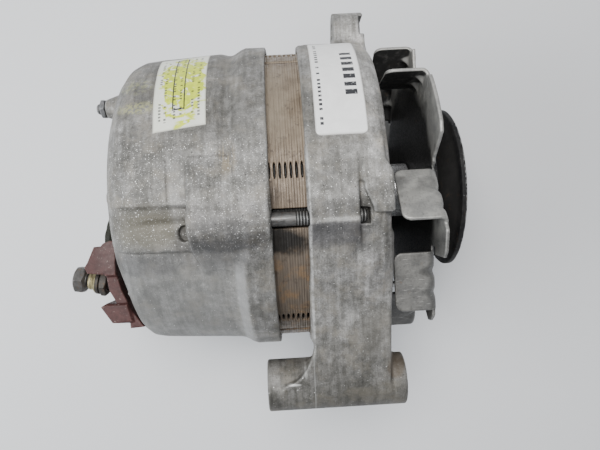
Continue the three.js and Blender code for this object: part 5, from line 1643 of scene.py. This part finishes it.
def wiped_paint(m, u, v):
    """Yellow-green paint wiped over the middle of the sheet."""
    edge = m.noise(scale=0.16, detail=4, warp=1.0)
    du = m.mul(m.add(u, -0.55), m.add(u, -0.55))
    dv = m.mul(m.add(v, -0.50), m.add(v, -0.50), 0.9)
    d = m.math("SQRT", m.add(du, dv))
    paint = m.mul(m.ramp(m.add(d, m.mul(edge, 0.9)), span=(0.88, 0.80)),
                  m.ramp(m.noise(scale=0.30, rough=0.5, warp=0.8), span=(0.36, 0.44)))
    shade = m.ramp(m.noise(scale=0.5), span=(0.35, 0.65))
    m.coat(paint, m.mix(shade, (0.55, 0.66, 0.008), (0.68, 0.78, 0.03)), amount=0.96)


def label_finish(name, front):
    m = Finish(name, rough=0.42)
    u, v, _ = m.node("ShaderNodeSeparateXYZ", [(0, m.coords.outputs["UV"])]).outputs
    paper = (0.97, 0.97, 0.965) if front else (0.86, 0.88, 0.78)
    cloud = m.noise(scale=0.25, detail=5, rough=0.6)
    m.base(cloud, (0.35, 0.7), low=tuple(k * 0.94 for k in paper), high=paper)
    m.coat(m.ramp(m.noise(scale=1.8, detail=4, rough=0.7), span=(0.58, 0.72)),
           (0.36, 0.34, 0.31), amount=0.18)
    if front:
        # a column of small dashes at low u, a column of broad blocks at high u
        inks = [bars(m, u, v, (0.10, 0.165), (0.05, 0.93), pitch=0.033, fill=0.60, seed=3.0),
                bars(m, u, v, (0.64, 0.88), (0.24, 0.73), pitch=0.0686, fill=0.66, seed=5.0,
                     gap=0.0)]
    else:
        inks = rear_ink(m, u, v)
        wiped_paint(m, u, v)
    ink = reduce(lambda a, b: m.math("MAXIMUM", a, b), inks)
    faded = m.ramp(m.noise(scale=1.2), span=(0.30, 0.42), to=(0.45, 1.0))
    m.coat(ink, (0.035, 0.035, 0.04), amount=faded)
    # dirty edge
    edge_u = m.math("MINIMUM", u, m.math("SUBTRACT", 1.0, u))
    edge_v = m.mul(m.math("MINIMUM", v, m.math("SUBTRACT", 1.0, v)), 2.0)
    m.coat(m.ramp(m.math("MINIMUM", edge_u, edge_v), span=(0.035, 0.0)), (0.30, 0.28, 0.25),
           amount=0.55)
    m.bumps((m.noise(scale=0.35, detail=4), 0.3, 0.25), (m.noise(scale=2.2), 0.25, 0.06))
    return m.done(m.ramp(cloud, MID, to=(0.34, 0.55)))


# slot: material name, colour, rust, roughness, metallic, grain, darkening of the low tone
FASTENER_STEELS = {
    "fastener_steel": ("fastener_steel_worn", (0.125, 0.121, 0.118), 0.45, 0.48, 0.6),
    "dark_steel": ("dark_steel_oxide", (0.060, 0.054, 0.048), 0.7, 0.55, 0.5),
    "washer_brass": ("yellow_passivated", (0.40, 0.35, 0.20), 0.25, 0.42, 0.75)}
OTHER_METALS = {
    "aux_zinc": ("zinc_dull", (0.255, 0.258, 0.265), 0.2, 0.45, 0.6),
    "rotor_iron": ("forged_iron", (0.16, 0.155, 0.15), 0.6, 0.55, 0.6),
    "shaft_steel": ("ground_steel", (0.42, 0.42, 0.42), 0.25, 0.3, 0.9, 0.4),
    "bearing_steel": ("bearing_greased", (0.17, 0.165, 0.16), 0.2, 0.42, 0.6, 0.2, 0.3),
    "spring_steel": ("spring_wire", (0.36, 0.36, 0.37), 0.15, 0.3, 0.9),
    "heat_sink": ("sheet_alloy", (0.52, 0.53, 0.54), 0.08, 0.38, 0.85, 0.5),
    "diode": ("plated_can", (0.45, 0.44, 0.41), 0.15, 0.32, 0.85),
    "slip_copper": ("slip_ring_copper", (0.60, 0.30, 0.15), 0.0, 0.28, 0.9, 0.7, 0.25)}

finishes = {"cast_alloy": cast("alloy_rear", tone=1.0, front=False),
            "cast_front": cast("alloy_front", tone=0.98, front=True),
            "laminations": laminations(),
            "copper": copper()}
finishes.update({slot: steel(*row) for slot, row in FASTENER_STEELS.items()})
finishes["bolt_line"] = bolt_steel()
finishes.update({slot: steel(*row) for slot, row in OTHER_METALS.items()})
finishes.update({
    "fan_steel": fan_sheet(), "pulley_black": pulley_enamel(), "phenolic": phenolic(),
    "wire_sheath": wire_sheath(), "carbon": carbon(), "insulation": insulation(),
    "bobbin": bobbin(), "label": label_finish("sheet_rear", front=False),
    "label_front": label_finish("sheet_front", front=True)})

# objects whose finish differs from their slot's
OWN_FINISH = {
    "front_casting": "cast_front", "label_sheet_front": "label_front",
    "aux_stud_threaded": "aux_zinc", "aux_hex_nut": "aux_zinc",
    "bolt_1": "bolt_line", "bolt_2": "bolt_line", "bolt_3": "bolt_line"}
NODE_SLOTS = {part["node"]: part["material_slot"] for part in frame["record"]["subparts"]}

for obj in bpy.context.scene.objects:
    if obj.type != "MESH" or obj.hide_render:
        continue
    slot = (OWN_FINISH.get(obj.name) or obj.get("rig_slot")
            or NODE_SLOTS.get(obj.name, "fastener_steel"))
    obj.data.materials.clear()
    obj.data.materials.append(finishes[slot])
    # pieces kept from the CAD get a fine edge
    if "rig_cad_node" in obj:
        bevel = obj.modifiers.new("edge", "BEVEL")
        bevel.width = 0.00025
        bevel.segments = 2
        bevel.limit_method = "ANGLE"
        bevel.angle_limit = 0.6
        bevel.harden_normals = False

# ------------------------------------------------------------------ stage, light and camera (m)
FLOOR_SIZE, FLOOR_PLACE = 6, (-0.08, 0, -0.0716)
LIGHT_TARGET = (-0.08, 0, 0)
CAMERA_DISTANCE = 0.260
CAMERA_LEAN = rad(3.18)             # from straight above toward -y
CAMERA_TILT, CAMERA_ROLL = rad(1.10), rad(3.14)

bpy.ops.mesh.primitive_plane_add(size=FLOOR_SIZE, location=FLOOR_PLACE)
floor = bpy.context.object
floor.name = "floor"
floor_material = bpy.data.materials.new("floor_pale")
floor_material.use_nodes = True
floor_shader = floor_material.node_tree.nodes["Principled BSDF"]
floor_shader.inputs["Base Color"].default_value = (0.74, 0.75, 0.77, 1)
floor_shader.inputs["Roughness"].default_value = 0.55
floor.data.materials.append(floor_material)

world = bpy.data.worlds.new("studio")
bpy.context.scene.world = world
world.use_nodes = True
background = world.node_tree.nodes["Background"]
background.inputs["Color"].default_value = (0.80, 0.84, 0.90, 1)
background.inputs["Strength"].default_value = 0.36


def area_light(name, location, size, power, color):
    light = bpy.data.lights.new(name, "AREA")
    light.shape = "RECTANGLE"
    light.size, light.size_y = size
    light.energy = power
    light.color = color
    obj = bpy.data.objects.new(name, light)
    bpy.context.scene.collection.objects.link(obj)
    obj.location = location
    aim = Vector(LIGHT_TARGET) - Vector(location)
    obj.rotation_euler = aim.to_track_quat("-Z", "Y").to_euler()


area_light("key_overhead", location=(-0.22, 0.25, 1.05), size=(0.6, 0.5), power=14.5,
           color=(1.0, 0.99, 0.97))
area_light("fill_left", location=(-0.85, -0.15, 0.50), size=(0.5, 0.6), power=6.5,
           color=(0.95, 0.98, 1.0))

lens = bpy.data.cameras.new("camera")
lens.sensor_width = 36.0
lens.lens = 32.322
lens.clip_start = 0.01
camera = bpy.data.objects.new("camera", lens)
bpy.context.scene.collection.objects.link(camera)
tilt = Matrix(((math.cos(CAMERA_TILT), 0, math.sin(CAMERA_TILT)), (0, 1, 0),
               (-math.sin(CAMERA_TILT), 0, math.cos(CAMERA_TILT))))
roll = Matrix(((math.cos(CAMERA_ROLL), -math.sin(CAMERA_ROLL), 0),
               (math.sin(CAMERA_ROLL), math.cos(CAMERA_ROLL), 0), (0, 0, 1)))
camera_place = (SHIFT / 1000, -CAMERA_DISTANCE * math.sin(CAMERA_LEAN),
                CAMERA_DISTANCE * math.cos(CAMERA_LEAN))
camera.matrix_world = Matrix.Translation(camera_place) @ (roll @ tilt).transposed().to_4x4()
bpy.context.scene.camera = camera
